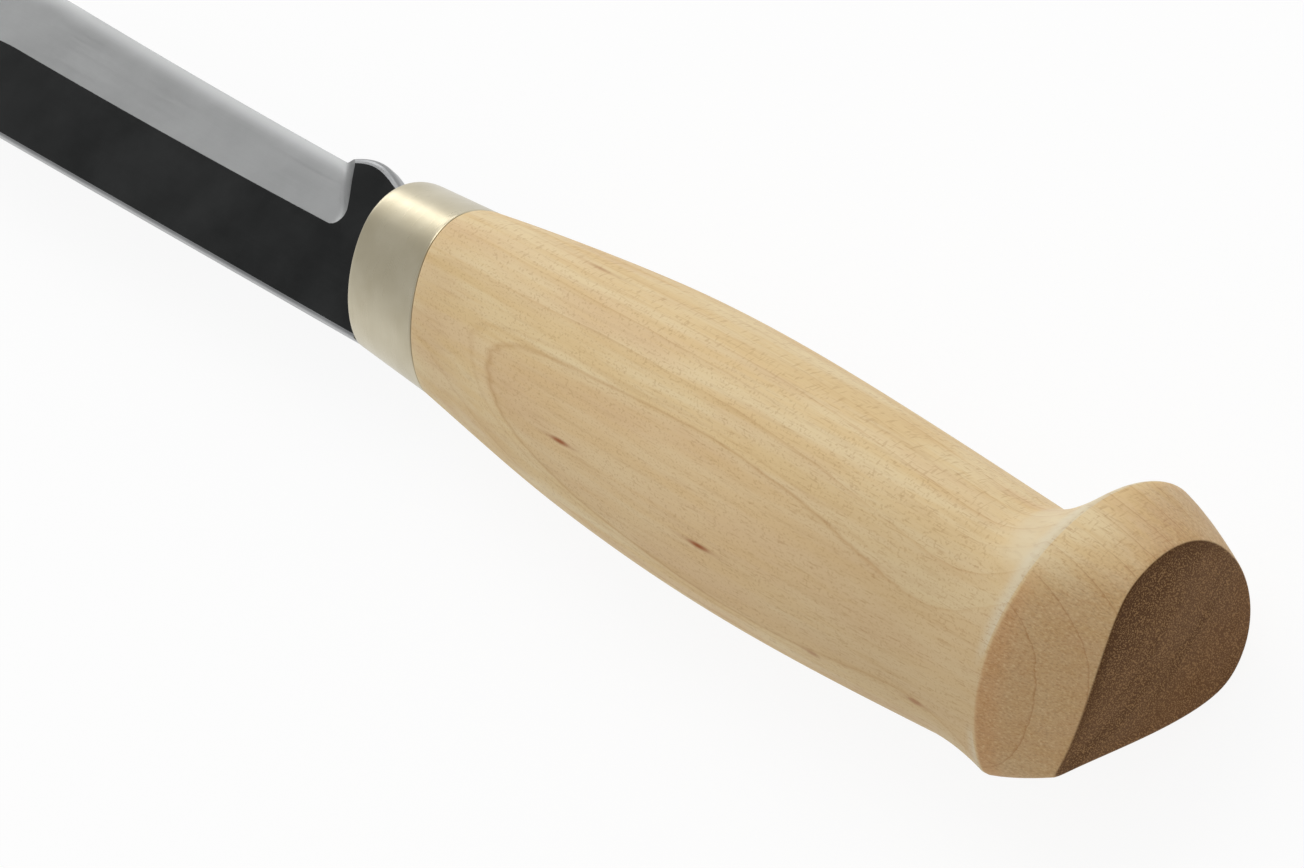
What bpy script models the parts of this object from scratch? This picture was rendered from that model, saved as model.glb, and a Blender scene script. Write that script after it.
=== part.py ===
"""Puukko: a fixed-blade belt knife with a hidden tang, a metal ferrule and a one-piece birch handle.

The knife lies on its side. +X runs from the butt to the point, +Y towards the spine of the blade and
+Z up, out of the blade's upper flat. The origin is on the surface that the knife lies on, under the
middle of its box. Sizes are in metres. Lengths along the knife are counted from the front plane of the
ferrule: forwards on the blade, and backwards ("depth") on the ferrule and the handle. Across the knife,
"reach" is the distance from the tang's centre line, towards the cutting edge or towards the spine.
"""

from dataclasses import dataclass, replace

import bmesh
import bpy
import numpy as np
from mathutils import Vector

# Clearance between any two pieces that touch on the real knife
SEAT_GAP = 0.0003

# Blade
BLADE_LENGTH = 0.110
BLADE_THICKNESS = 0.0025
EDGE_THICKNESS = 0.0002
SPINE_REACH = 0.0092
POINT_DROP = 0.0015
POINT_DROP_LENGTH = 0.044
EDGE_REACH = 0.0066
BELLY_REACH = 0.0078
BELLY_LENGTH = 0.040
BELLY_POWER = 2.2
BELLY_START = BLADE_LENGTH - BELLY_LENGTH
HEEL_STANDOFF = 0.00145
HEEL_START = 0.0016
HEEL_RISE = 0.0095
HEEL_FALL = 0.0058
BEVEL_WIDTH = 0.0057
BELLY_BEVEL_WIDTH = 0.0079
BEVEL_START = 0.0110
BEVEL_START_SLANT = 0.0052

# Tang, relieved at its sides and behind the blade's shoulder
TANG_LENGTH = 0.062
TANG_HEIGHT = 0.0100
TANG_END_HEIGHT = 0.0060
TANG_SIDE_RELIEF = 0.00015
TANG_SHOULDER = 0.0004
TANG_THICKNESS = BLADE_THICKNESS - 2.0 * TANG_SIDE_RELIEF

# Ferrule, flush with the spine at its front
FERRULE_LENGTH = 0.0114
FERRULE_WALL = 0.0007
FERRULE_FRONT_WALL = 0.0012
FERRULE_EDGE_ROUND = 0.0006
FERRULE_FRONT_EDGE_REACH = 0.0088
FERRULE_FRONT_SPINE_REACH = SPINE_REACH
FERRULE_FRONT_HALF_WIDTH = 0.0091
FERRULE_REAR_EDGE_REACH = 0.0093
FERRULE_REAR_SPINE_REACH = 0.0103
FERRULE_REAR_HALF_WIDTH = 0.0102
FERRULE_WIDEST_REACH = 0.0018
FERRULE_EDGE_POWER = 2.3
FERRULE_SPINE_POWER = 1.6

# Handle: the grip swells behind the ferrule, narrows at the neck and flares to a lip round the butt
HANDLE_LENGTH = 0.110
GRIP_EDGE_POWER = 2.05
GRIP_SPINE_POWER = 2.0
FORE_SWELL_RUN = 0.0246
FORE_SWELL_EDGE_REACH = 0.0118
FORE_SWELL_SPINE_REACH = 0.0134
FORE_SWELL_HALF_WIDTH = 0.0106
REAR_SWELL_RUN = 0.0266
REAR_SWELL_EDGE_REACH = 0.01145
REAR_SWELL_SPINE_REACH = 0.01485
REAR_SWELL_HALF_WIDTH = 0.0111
NECK_EDGE_REACH = 0.0097
NECK_SPINE_REACH = 0.0140
NECK_HALF_WIDTH = 0.0101
FLARE_LENGTH = 0.0083
LIP_SLANT = 0.025
LIP_EDGE_REACH = 0.0168
LIP_SPINE_REACH = 0.0151
LIP_HALF_WIDTH = 0.0114
LIP_WIDEST_REACH = 0.0024
LIP_EDGE_POWER = 1.75
LIP_TIP_POWER = 1.3
LIP_FLANK_POWER = 2.0
BAND_LENGTH = 0.0091
BAND_CROWN = 0.0002
BUTT_SLANT = 0.10
BUTT_EDGE_REACH = 0.0132
BUTT_SPINE_REACH = 0.0116
BUTT_HALF_WIDTH = 0.0092
BUTT_WIDEST_REACH = 0.0047
BUTT_EDGE_POWER = 1.95
BUTT_TIP_POWER = 1.08
BUTT_FLANK_POWER = 1.3
LIP_DEPTH = HANDLE_LENGTH - BAND_LENGTH
NECK_DEPTH = LIP_DEPTH - FLARE_LENGTH
FORE_SWELL_DEPTH = FERRULE_LENGTH + FORE_SWELL_RUN
REAR_SWELL_DEPTH = NECK_DEPTH - REAR_SWELL_RUN

# Mortise in the handle, filled with a bed of adhesive round the tang
TANG_BED = 0.0019
MORTISE_CORNER_ROUND = 0.0026
MORTISE_HEIGHT = TANG_HEIGHT + 2.0 * TANG_BED
MORTISE_WIDTH = TANG_THICKNESS + 2.0 * TANG_BED
MORTISE_DEPTH = TANG_LENGTH + TANG_BED

# Name of the empty that carries every piece
FRAME_NAME = "knife_frame"

# Mesh density, the angle past which an edge stays sharp, and how far a cutter runs past what it cuts
SECTION_POINTS = 48
BODY_RINGS = 22
FLARE_RINGS = 7
BAND_RINGS = 3
BELLY_POINTS = 16
HEEL_POINTS = 8
ROUND_RINGS = 3
CORNER_SEGMENTS = 4
SHARP_ANGLE = 0.6
WELD_DISTANCE = 0.000001
CUT_MARGIN = 0.0015


@dataclass(frozen=True)
class Section:
    """One cross-section of the ferrule or the handle.

    The side towards the edge is a superellipse of edge_power. The side towards the spine follows
    (width / half_width) ** tip_power + (height / reach) ** flank_power = 1, which gives anything from an
    ellipse, with both powers at 2, to a teardrop.
    """

    edge_reach: float
    spine_reach: float
    half_width: float
    widest_reach: float
    edge_power: float
    tip_power: float
    flank_power: float

    def inset(self, by: float) -> "Section":
        """The same section with this much taken off all round."""
        return replace(
            self,
            edge_reach=self.edge_reach - by,
            spine_reach=self.spine_reach - by,
            half_width=self.half_width - by,
        )

    def outline(self) -> list:
        """Points round the section as (reach towards the edge, height above the centre plane)."""
        points = []
        for angle in np.linspace(0.0, 2.0 * np.pi, SECTION_POINTS, endpoint=False):
            across, along = np.cos(angle), np.sin(angle)
            if along >= 0.0:
                height = self.edge_reach - self.widest_reach
                reach = self.widest_reach + height * along ** (2.0 / self.edge_power)
                wide = abs(across) ** (2.0 / self.edge_power)
            else:
                height = self.spine_reach + self.widest_reach
                reach = self.widest_reach - height * abs(along) ** (2.0 / self.flank_power)
                wide = abs(across) ** (2.0 / self.tip_power)
            points.append((reach, self.half_width * wide * np.sign(across)))
        return points


def ferrule_end(edge_reach, spine_reach, half_width):
    """One end of the ferrule, which is egg-shaped and fullest towards the edge."""
    return Section(
        edge_reach, spine_reach, half_width,
        FERRULE_WIDEST_REACH, FERRULE_EDGE_POWER, FERRULE_SPINE_POWER, FERRULE_SPINE_POWER,
    )


def grip_section(edge_reach, spine_reach, half_width):
    """One of the grip's oval sections, centred on the tang."""
    return Section(
        edge_reach, spine_reach, half_width,
        0.0, GRIP_EDGE_POWER, GRIP_SPINE_POWER, GRIP_SPINE_POWER,
    )


FERRULE_FRONT = ferrule_end(FERRULE_FRONT_EDGE_REACH, FERRULE_FRONT_SPINE_REACH, FERRULE_FRONT_HALF_WIDTH)
FERRULE_REAR = ferrule_end(FERRULE_REAR_EDGE_REACH, FERRULE_REAR_SPINE_REACH, FERRULE_REAR_HALF_WIDTH)
FORE_SWELL = grip_section(FORE_SWELL_EDGE_REACH, FORE_SWELL_SPINE_REACH, FORE_SWELL_HALF_WIDTH)
REAR_SWELL = grip_section(REAR_SWELL_EDGE_REACH, REAR_SWELL_SPINE_REACH, REAR_SWELL_HALF_WIDTH)
NECK = grip_section(NECK_EDGE_REACH, NECK_SPINE_REACH, NECK_HALF_WIDTH)
LIP = Section(
    LIP_EDGE_REACH, LIP_SPINE_REACH, LIP_HALF_WIDTH,
    LIP_WIDEST_REACH, LIP_EDGE_POWER, LIP_TIP_POWER, LIP_FLANK_POWER,
)
BUTT = Section(
    BUTT_EDGE_REACH, BUTT_SPINE_REACH, BUTT_HALF_WIDTH,
    BUTT_WIDEST_REACH, BUTT_EDGE_POWER, BUTT_TIP_POWER, BUTT_FLANK_POWER,
)


def spline(places, values, at):
    """Values of the natural cubic spline through (places, values), read at one place."""
    places = np.asarray(places)
    values = np.asarray(values)
    steps = np.diff(places)
    slopes = np.diff(values) / steps
    count = len(places)
    system = np.eye(count)
    right = np.zeros(count)
    for i in range(1, count - 1):
        system[i, i - 1:i + 2] = steps[i - 1], 2.0 * (steps[i - 1] + steps[i]), steps[i]
        right[i] = 6.0 * (slopes[i] - slopes[i - 1])
    bends = np.linalg.solve(system, right)
    i = int(np.clip(np.searchsorted(places, at) - 1, 0, count - 2))
    before, after = at - places[i], places[i + 1] - at
    curve = (bends[i] * after**3 + bends[i + 1] * before**3) / (6.0 * steps[i])
    left = (values[i] / steps[i] - bends[i] * steps[i] / 6.0) * after
    return curve + left + (values[i + 1] / steps[i] - bends[i + 1] * steps[i] / 6.0) * before


def mix(first, last, share):
    """The section part of the way from one section to another."""
    sizes = {}
    for name, value in vars(first).items():
        sizes[name] = value + (getattr(last, name) - value) * share
    return Section(**sizes)


def ring(section, depth, slant=0.0):
    """The section's points at this depth behind the ferrule's front, leaning back towards the edge."""
    return [Vector((-(depth + slant * reach), -reach, height)) for reach, height in section.outline()]


def ferrule_section(depth):
    """The ferrule's outside at this depth, which the handle's tenon and shoulder follow too."""
    return mix(FERRULE_FRONT, FERRULE_REAR, depth / FERRULE_LENGTH)


def body_section(depth):
    """The grip between the ferrule and the neck, on smooth curves through its named sections."""
    places = (FERRULE_LENGTH, FORE_SWELL_DEPTH, REAR_SWELL_DEPTH, NECK_DEPTH)
    named = (FERRULE_REAR, FORE_SWELL, REAR_SWELL, NECK)
    to_swell = min((depth - FERRULE_LENGTH) / (FORE_SWELL_DEPTH - FERRULE_LENGTH), 1.0)
    ease = to_swell * to_swell * (3.0 - 2.0 * to_swell)
    return replace(
        mix(FERRULE_REAR, FORE_SWELL, ease),
        edge_reach=spline(places, [section.edge_reach for section in named], depth),
        spine_reach=spline(places, [section.spine_reach for section in named], depth),
        half_width=spline(places, [section.half_width for section in named], depth),
    )


def handle_rings():
    """Rings from the tenon's front end to the butt face."""
    wall = FERRULE_WALL + SEAT_GAP
    tenon_front = FERRULE_FRONT_WALL + SEAT_GAP
    shoulder = FERRULE_LENGTH + SEAT_GAP
    rings = [
        ring(ferrule_section(tenon_front).inset(wall), tenon_front),
        ring(ferrule_section(shoulder).inset(wall), shoulder),
    ]
    for depth in np.linspace(shoulder, NECK_DEPTH, BODY_RINGS):
        rings.append(ring(body_section(depth), depth))
    neck, lip = rings[-1], ring(LIP, LIP_DEPTH, LIP_SLANT)
    for share in np.linspace(0.0, 1.0, FLARE_RINGS + 1)[1:]:
        rings.append([flared(start, end, share) for start, end in zip(neck, lip)])
    butt = ring(BUTT, HANDLE_LENGTH, BUTT_SLANT)
    for share in np.linspace(0.0, 1.0, BAND_RINGS + 1)[1:]:
        crown = 1.0 + 4.0 * share * (1.0 - share) * BAND_CROWN / LIP_HALF_WIDTH
        rings.append([crowned(start.lerp(end, share), crown) for start, end in zip(lip, butt)])
    return rings


def flared(start, end, share):
    """A point on the hollow flare: along the knife evenly, and outwards ever faster."""
    out = start.lerp(end, share * share)
    out.x = start.x + (end.x - start.x) * share
    return out


def crowned(point, factor):
    """The point pushed out from the knife's centre line."""
    return Vector((point.x, point.y * factor, point.z * factor))


def edge_reach_at(place):
    """Reach of the ground edge, straight and then curving up to the point."""
    straight = EDGE_REACH + (BELLY_REACH - EDGE_REACH) * place / BELLY_START
    if place <= BELLY_START:
        return straight
    share = (place - BELLY_START) / BELLY_LENGTH
    point = POINT_DROP - SPINE_REACH
    slope = (BELLY_REACH - EDGE_REACH) / BELLY_START
    run_on = BELLY_REACH + slope * (place - BELLY_START) * (1.0 - share)
    return run_on + (point - BELLY_REACH) * share**BELLY_POWER


def spine_reach_at(place):
    """Reach of the spine, as a negative number, with its slight drop to the point."""
    share = max(place - BLADE_LENGTH + POINT_DROP_LENGTH, 0.0) / POINT_DROP_LENGTH
    return POINT_DROP * share * share - SPINE_REACH


def blade_outline():
    """The blade's side view, from the shoulder along the heel and edge to the point and back."""
    shoulder = TANG_HEIGHT / 2.0 + TANG_SHOULDER
    heel = EDGE_REACH + HEEL_STANDOFF
    points = [(SEAT_GAP, shoulder)]
    for share in np.linspace(0.0, 1.0, HEEL_POINTS):
        ease = share * share * (3.0 - 2.0 * share)
        points.append((HEEL_START + HEEL_RISE * share, shoulder + (heel - shoulder) * ease))
    crest = HEEL_START + HEEL_RISE
    foot = edge_reach_at(crest + HEEL_FALL)
    for share in np.linspace(0.0, 1.0, HEEL_POINTS)[1:]:
        points.append((crest + HEEL_FALL * share, heel + (foot - heel) * share * share))
    for place in np.linspace(BELLY_START, BLADE_LENGTH, BELLY_POINTS):
        points.append((place, edge_reach_at(place)))
    for place in np.linspace(BLADE_LENGTH, BLADE_LENGTH - POINT_DROP_LENGTH, BELLY_POINTS // 2)[1:]:
        points.append((place, spine_reach_at(place)))
    points.append((SEAT_GAP, -SPINE_REACH))
    return [Vector((place, -reach, 0.0)) for place, reach in points]


def new_mesh_object(name, mesh, collection):
    """An object for a mesh, linked to a collection and carried by the knife's empty."""
    made = bpy.data.objects.new(name, mesh)
    collection.objects.link(made)
    made.parent = bpy.data.objects[FRAME_NAME]
    return made


def loft(name, rings, collection):
    """A closed solid through rings of equal length, with flat ends."""
    build = bmesh.new()
    rows = [[build.verts.new(point) for point in row] for row in rings]
    for row, after in zip(rows, rows[1:]):
        for i in range(len(row)):
            j = (i + 1) % len(row)
            build.faces.new((row[i], row[j], after[j], after[i]))
    build.faces.new(rows[0])
    build.faces.new(rows[-1])
    bmesh.ops.recalc_face_normals(build, faces=build.faces)
    mesh = bpy.data.meshes.new(name)
    build.to_mesh(mesh)
    build.free()
    return new_mesh_object(name, mesh, collection)


def block(name, low, high, collection, round_by):
    """A box between two corners, with the edges that run along the knife rounded."""
    build = bmesh.new()
    bmesh.ops.create_cube(build, size=1.0)
    low, high = Vector(low), Vector(high)
    for vert in build.verts:
        vert.co = Vector(b if unit > 0.0 else a for a, b, unit in zip(low, high, vert.co))
    long_edges = [edge for edge in build.edges if edge.verts[0].co.yz == edge.verts[1].co.yz]
    bmesh.ops.bevel(
        build, geom=long_edges, offset=round_by, segments=CORNER_SEGMENTS, affect="EDGES", profile=0.5
    )
    mesh = bpy.data.meshes.new(name)
    build.to_mesh(mesh)
    build.free()
    return new_mesh_object(name, mesh, collection)


def plate(name, outline, thickness, collection):
    """A flat outline given its thickness, as a mesh that a Boolean can cut."""
    curve = bpy.data.curves.new(name, "CURVE")
    curve.dimensions = "2D"
    curve.fill_mode = "BOTH"
    curve.extrude = thickness / 2.0
    path = curve.splines.new("POLY")
    path.points.add(len(outline) - 1)
    for knot, point in zip(path.points, outline):
        knot.co = (*point, 1.0)
    path.use_cyclic_u = True
    drawn = bpy.data.objects.new(name + "_curve", curve)
    bpy.context.scene.collection.objects.link(drawn)
    graph = bpy.context.evaluated_depsgraph_get()
    mesh = bpy.data.meshes.new_from_object(drawn.evaluated_get(graph))
    bpy.data.objects.remove(drawn)
    build = bmesh.new()
    build.from_mesh(mesh)
    bmesh.ops.remove_doubles(build, verts=build.verts, dist=WELD_DISTANCE)
    bmesh.ops.recalc_face_normals(build, faces=build.faces)
    build.to_mesh(mesh)
    build.free()
    mesh.name = name
    return new_mesh_object(name, mesh, collection)


def boolean(target, other, operation):
    """A live Boolean of one object on another."""
    modifier = target.modifiers.new(f"{operation.lower()}_{other.name}", "BOOLEAN")
    modifier.operation = operation
    modifier.solver = "EXACT"
    modifier.object = other


def bevel_ring(place, side, lean):
    """One cross-section of the steel ground off a side of the blade, leaning forwards at the edge."""
    step = CUT_MARGIN / 10.0
    rise = (edge_reach_at(place + step) - edge_reach_at(place - step)) / (2.0 * step)
    inwards = Vector((rise, -1.0)).normalized()
    width = BEVEL_WIDTH + (BELLY_BEVEL_WIDTH - BEVEL_WIDTH) * min(place / BELLY_START, 1.0)
    slope = (BLADE_THICKNESS - EDGE_THICKNESS) / 2.0 / width
    inner, outer = width + CUT_MARGIN, -CUT_MARGIN
    clear = BLADE_THICKNESS / 2.0 + 2.0 * CUT_MARGIN
    corners = []
    for out, on_bevel in ((inner, True), (outer, True), (outer, False), (inner, False)):
        along = place + inwards.x * out + lean * (1.0 - out / width)
        reach = edge_reach_at(place) + inwards.y * out
        height = EDGE_THICKNESS / 2.0 + slope * out if on_bevel else clear
        corners.append(Vector((along, -reach, side * height)))
    return corners


def bevel_cutter(name, side, collection):
    """The wedge ground off one side: it starts on a slant behind the heel and follows the edge."""
    straight = np.linspace(BEVEL_START, BELLY_START, 4)[1:-1]
    curved = np.linspace(BELLY_START, BLADE_LENGTH + 2.0 * CUT_MARGIN, BELLY_POINTS)
    rings = [bevel_ring(BEVEL_START, side, BEVEL_START_SLANT)]
    rings += [bevel_ring(place, side, 0.0) for place in (*straight, *curved)]
    return loft(name, rings, collection)


def tang_rings(gap, depth):
    """The tang's tapered bar, or the space for it when a gap is given, back to this depth."""
    rings = []
    for place in (CUT_MARGIN, 0.0, -depth):
        share = min(max(-place / TANG_LENGTH, 0.0), 1.0)
        half_height = (TANG_HEIGHT + (TANG_END_HEIGHT - TANG_HEIGHT) * share) / 2.0 + gap
        half_width = TANG_THICKNESS / 2.0 + gap
        corners = ((-1, -1), (1, -1), (1, 1), (-1, 1))
        rings.append([Vector((place, y * half_height, z * half_width)) for y, z in corners])
    return rings


def make_blade(parts, cutters):
    """The blade blank with both bevels ground and its tang joined on."""
    blade = plate("blade", blade_outline(), BLADE_THICKNESS, parts)
    boolean(blade, bevel_cutter("upper_bevel", 1.0, cutters), "DIFFERENCE")
    boolean(blade, bevel_cutter("lower_bevel", -1.0, cutters), "DIFFERENCE")
    boolean(blade, loft("tang_bar", tang_rings(0.0, TANG_LENGTH), cutters), "UNION")
    return blade


def make_ferrule(parts, cutters):
    """A drawn cap: a tapered tube with a front wall, slotted for the tang."""
    rings = []
    for share in np.linspace(0.0, 1.0, ROUND_RINGS):
        depth = FERRULE_EDGE_ROUND * share
        inset = FERRULE_EDGE_ROUND * (1.0 - np.sqrt(1.0 - (1.0 - share) ** 2))
        rings.append(ring(ferrule_section(depth).inset(inset), depth))
    rings.append(ring(FERRULE_REAR, FERRULE_LENGTH))
    ferrule = loft("ferrule", rings, parts)
    hollow = []
    for depth in (FERRULE_FRONT_WALL, FERRULE_LENGTH + CUT_MARGIN):
        hollow.append(ring(ferrule_section(depth).inset(FERRULE_WALL), depth))
    boolean(ferrule, loft("ferrule_hollow", hollow, cutters), "DIFFERENCE")
    slot = loft("tang_slot", tang_rings(SEAT_GAP, FERRULE_LENGTH), cutters)
    boolean(ferrule, slot, "DIFFERENCE")
    return ferrule


def make_handle(parts, cutters):
    """The turned and shaped birch handle, with its tenon, flared butt and blind mortise."""
    handle = loft("handle", handle_rings(), parts)
    half_height, half_width = MORTISE_HEIGHT / 2.0, MORTISE_WIDTH / 2.0
    low = (-MORTISE_DEPTH, -half_height, -half_width)
    high = (CUT_MARGIN, half_height, half_width)
    boolean(handle, block("mortise", low, high, cutters, MORTISE_CORNER_ROUND), "DIFFERENCE")
    return handle


def make_adhesive(parts, cutters):
    """The set adhesive that fills the mortise and holds the tang."""
    half_height = MORTISE_HEIGHT / 2.0 - SEAT_GAP
    half_width = MORTISE_WIDTH / 2.0 - SEAT_GAP
    front = FERRULE_FRONT_WALL + SEAT_GAP
    low = (SEAT_GAP - MORTISE_DEPTH, -half_height, -half_width)
    high = (-front, half_height, half_width)
    adhesive = block("tang_adhesive", low, high, parts, MORTISE_CORNER_ROUND - SEAT_GAP)
    pocket = loft("tang_pocket", tang_rings(SEAT_GAP, TANG_LENGTH + SEAT_GAP), cutters)
    boolean(adhesive, pocket, "DIFFERENCE")
    return adhesive


def give_material(piece, colour, roughness, metallic):
    """A Principled material of the piece's own."""
    material = bpy.data.materials.new(piece.name)
    material.use_nodes = True
    shader = material.node_tree.nodes["Principled BSDF"]
    shader.inputs["Base Color"].default_value = (*colour, 1.0)
    shader.inputs["Roughness"].default_value = roughness
    shader.inputs["Metallic"].default_value = metallic
    material.diffuse_color = (*colour, 1.0)
    piece.data.materials.append(material)


def new_collection(name):
    """A collection under the scene's own."""
    made = bpy.data.collections.new(name)
    bpy.context.scene.collection.children.link(made)
    return made


def place_frame(parts):
    """The empty that carries every piece, set so that the knife's box stands on the origin."""
    points = [point for row in handle_rings() for point in row] + blade_outline()
    low = [min(point[axis] for point in points) for axis in range(3)]
    high = [max(point[axis] for point in points) for axis in range(3)]
    frame = bpy.data.objects.new(FRAME_NAME, None)
    parts.objects.link(frame)
    frame.location = (-(low[0] + high[0]) / 2.0, -(low[1] + high[1]) / 2.0, -low[2])


def main():
    """Builds the knife."""
    for old in list(bpy.data.objects):
        bpy.data.objects.remove(old)
    parts = new_collection("puukko_knife")
    cutters = new_collection("cutters")
    place_frame(parts)
    blade = make_blade(parts, cutters)
    ferrule = make_ferrule(parts, cutters)
    handle = make_handle(parts, cutters)
    adhesive = make_adhesive(parts, cutters)
    for cutter in cutters.objects:
        cutter.hide_render = True
        cutter.display_type = "WIRE"
    for piece in (ferrule, handle):
        piece.data.shade_smooth()
        piece.data.set_sharp_from_angle(angle=SHARP_ANGLE)
    give_material(blade, (0.045, 0.05, 0.055), 0.3, 1.0)
    give_material(ferrule, (0.66, 0.62, 0.52), 0.35, 1.0)
    give_material(handle, (0.57, 0.4, 0.21), 0.5, 0.0)
    give_material(adhesive, (0.25, 0.2, 0.12), 0.4, 0.0)


if __name__ == "__main__":
    main()
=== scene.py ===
"""Looks of a puukko: blued and ground steel, a nickel silver ferrule and a handle of oiled birch.

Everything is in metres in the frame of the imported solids: +X from the butt to the point, +Y towards the
spine, +Z up. Along the knife, "place" is counted forwards from the front plane of the ferrule and "depth"
backwards. Across it, "reach" is counted from the tang's centre line towards the cutting edge.
"""

import logging
import math
from contextlib import contextmanager
from dataclasses import dataclass, replace
from enum import Enum
from functools import cached_property
from typing import Callable, Iterator, Sequence

import bmesh
import bpy
from bmesh.types import BMEdge, BMesh
from bpy.types import Material, NodeSocket, NodeTree, Object
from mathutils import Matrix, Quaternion, Vector
from mathutils.kdtree import KDTree


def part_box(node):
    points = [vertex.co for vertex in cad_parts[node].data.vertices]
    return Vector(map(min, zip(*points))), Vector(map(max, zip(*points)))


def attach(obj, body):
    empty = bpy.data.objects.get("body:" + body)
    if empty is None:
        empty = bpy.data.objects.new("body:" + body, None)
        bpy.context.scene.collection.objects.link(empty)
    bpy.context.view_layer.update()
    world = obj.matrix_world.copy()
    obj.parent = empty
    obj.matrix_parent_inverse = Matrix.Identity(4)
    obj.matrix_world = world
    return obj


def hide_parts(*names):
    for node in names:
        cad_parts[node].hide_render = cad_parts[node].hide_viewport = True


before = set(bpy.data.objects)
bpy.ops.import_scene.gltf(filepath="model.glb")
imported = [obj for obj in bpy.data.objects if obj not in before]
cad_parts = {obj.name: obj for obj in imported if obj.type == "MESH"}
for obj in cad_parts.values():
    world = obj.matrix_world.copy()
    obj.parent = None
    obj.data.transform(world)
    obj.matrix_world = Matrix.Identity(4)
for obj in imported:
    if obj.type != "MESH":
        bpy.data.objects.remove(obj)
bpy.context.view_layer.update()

LOG = logging.getLogger("puukko")
MM = 0.001
RING_POINTS = 128
RIM_DISTANCE = "rim_distance"
# Least part of a face's normal along an axis for the face to count as square to it
SQUARE = 0.999
# Sockets of a Mix node that mixes colours
SHARE, FIRST, SECOND, MIXED = 0, 6, 7, 2

Pair = tuple[float, float]
Triple = tuple[float, float, float]
Path = Sequence[Pair]
Points = list[Vector]
Value = NodeSocket | float | Sequence[float]
# A value, the level of it that gives none of a tint, and the level that gives all of it
Span = tuple[NodeSocket, float, float]
# A tint, its largest share, and the spans that fade it
Layer = tuple[str | NodeSocket, float, *tuple[Span, ...]]


class Shader(Enum):
    """The kinds of shader node in use: the node's name and, where it has one, a setting and its choice."""

    COORDINATES = ("TexCoord",)
    MAPPING = ("Mapping", "vector_type", "TEXTURE")
    ADD = ("Math", "operation", "ADD")
    SUBTRACT = ("Math", "operation", "SUBTRACT")
    MULTIPLY = ("Math", "operation", "MULTIPLY")
    DIVIDE = ("Math", "operation", "DIVIDE")
    POWER = ("Math", "operation", "POWER")
    ABSOLUTE = ("Math", "operation", "ABSOLUTE")
    MAXIMUM = ("Math", "operation", "MAXIMUM")
    FRACT = ("Math", "operation", "FRACT")
    ARCTAN2 = ("Math", "operation", "ARCTAN2")
    STRETCH = ("VectorMath", "operation", "MULTIPLY")
    LENGTH = ("VectorMath", "operation", "LENGTH")
    SPLIT = ("SeparateXYZ",)
    JOIN = ("CombineXYZ",)
    # Both take a value, the two ends of the span that it comes from and those of the span that it goes to
    RANGE = ("MapRange",)
    EASED_RANGE = ("MapRange", "interpolation_type", "SMOOTHSTEP")
    MIX = ("Mix", "data_type", "RGBA")
    NOISE = ("TexNoise",)
    RIM = ("Attribute", "attribute_name", RIM_DISTANCE)
    BUMP = ("Bump",)
    PRINCIPLED = ("BsdfPrincipled",)
    SURFACE = ("OutputMaterial",)
    EMISSION = ("Emission",)
    BLEND = ("MixShader",)
    LIGHT_PATH = ("LightPath",)
    BACKGROUND = ("Background",)
    WORLD = ("OutputWorld",)

    def __init__(self, kind: str, setting: str = "", choice: str = "") -> None:
        """Keeps the node's full name and its setting.

        Args:
            kind: The node's name.
            setting: Name of the setting, if any.
            choice: What the setting is set to.
        """
        self.kind = "ShaderNode" + kind
        self.setting = setting
        self.choice = choice


class Joining(Enum):
    """What a tool does to a piece."""

    CUT = "DIFFERENCE"
    WELD = "UNION"


class Picking(Enum):
    """What is picked in edit mode."""

    EDGES = "EDGE"
    FACES = "FACE"


def linear(code: str) -> tuple[float, float, float, float]:
    """Turns an sRGB hex colour to linear light.

    Args:
        code: Six hex digits with a leading #.

    Returns:
        Red, green, blue and an alpha of 1.
    """
    levels = [int(code[i:i + 2], 16) / 255.0 for i in (1, 3, 5)]
    light = [level / 12.92 if level <= 0.04045 else ((level + 0.055) / 1.055) ** 2.4 for level in levels]
    return (*light, 1.0)


def add_node(
    tree: NodeTree,
    shader: Shader,
    inputs: dict[str | int, Value] | Sequence[Value] = (),
    output: str | int = 0,
) -> NodeSocket | None:
    """Adds one node with its setting and links.

    Args:
        tree: The tree that takes the node.
        shader: The kind of node.
        inputs: For each input, by name or in order, the socket that feeds it or its value.
        output: The output to hand on.

    Returns:
        That output, or None for a node that has none.
    """
    node = tree.nodes.new(shader.kind)
    if shader.setting:
        setattr(node, shader.setting, shader.choice)
    for key, value in inputs.items() if isinstance(inputs, dict) else enumerate(inputs):
        if isinstance(value, NodeSocket):
            tree.links.new(value, node.inputs[key])
        else:
            node.inputs[key].default_value = value
    return node.outputs[output] if node.outputs else None


def layered(tree: NodeTree, colour: Value, *layers: Layer) -> NodeSocket:
    """Lays tints over a colour, each as far as its values lie along their spans.

    Args:
        tree: The tree that takes the nodes.
        colour: The colour at the bottom.
        layers: The tints.

    Returns:
        The colour on top.
    """
    for tint, share, *spans in layers:
        for value, none, full in spans:
            share = add_node(tree, Shader.EASED_RANGE, (value, none, full, 0.0, share))
        laid = linear(tint) if isinstance(tint, str) else tint
        colour = add_node(tree, Shader.MIX, {SHARE: share, FIRST: colour, SECOND: laid}, MIXED)
    return colour


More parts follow.
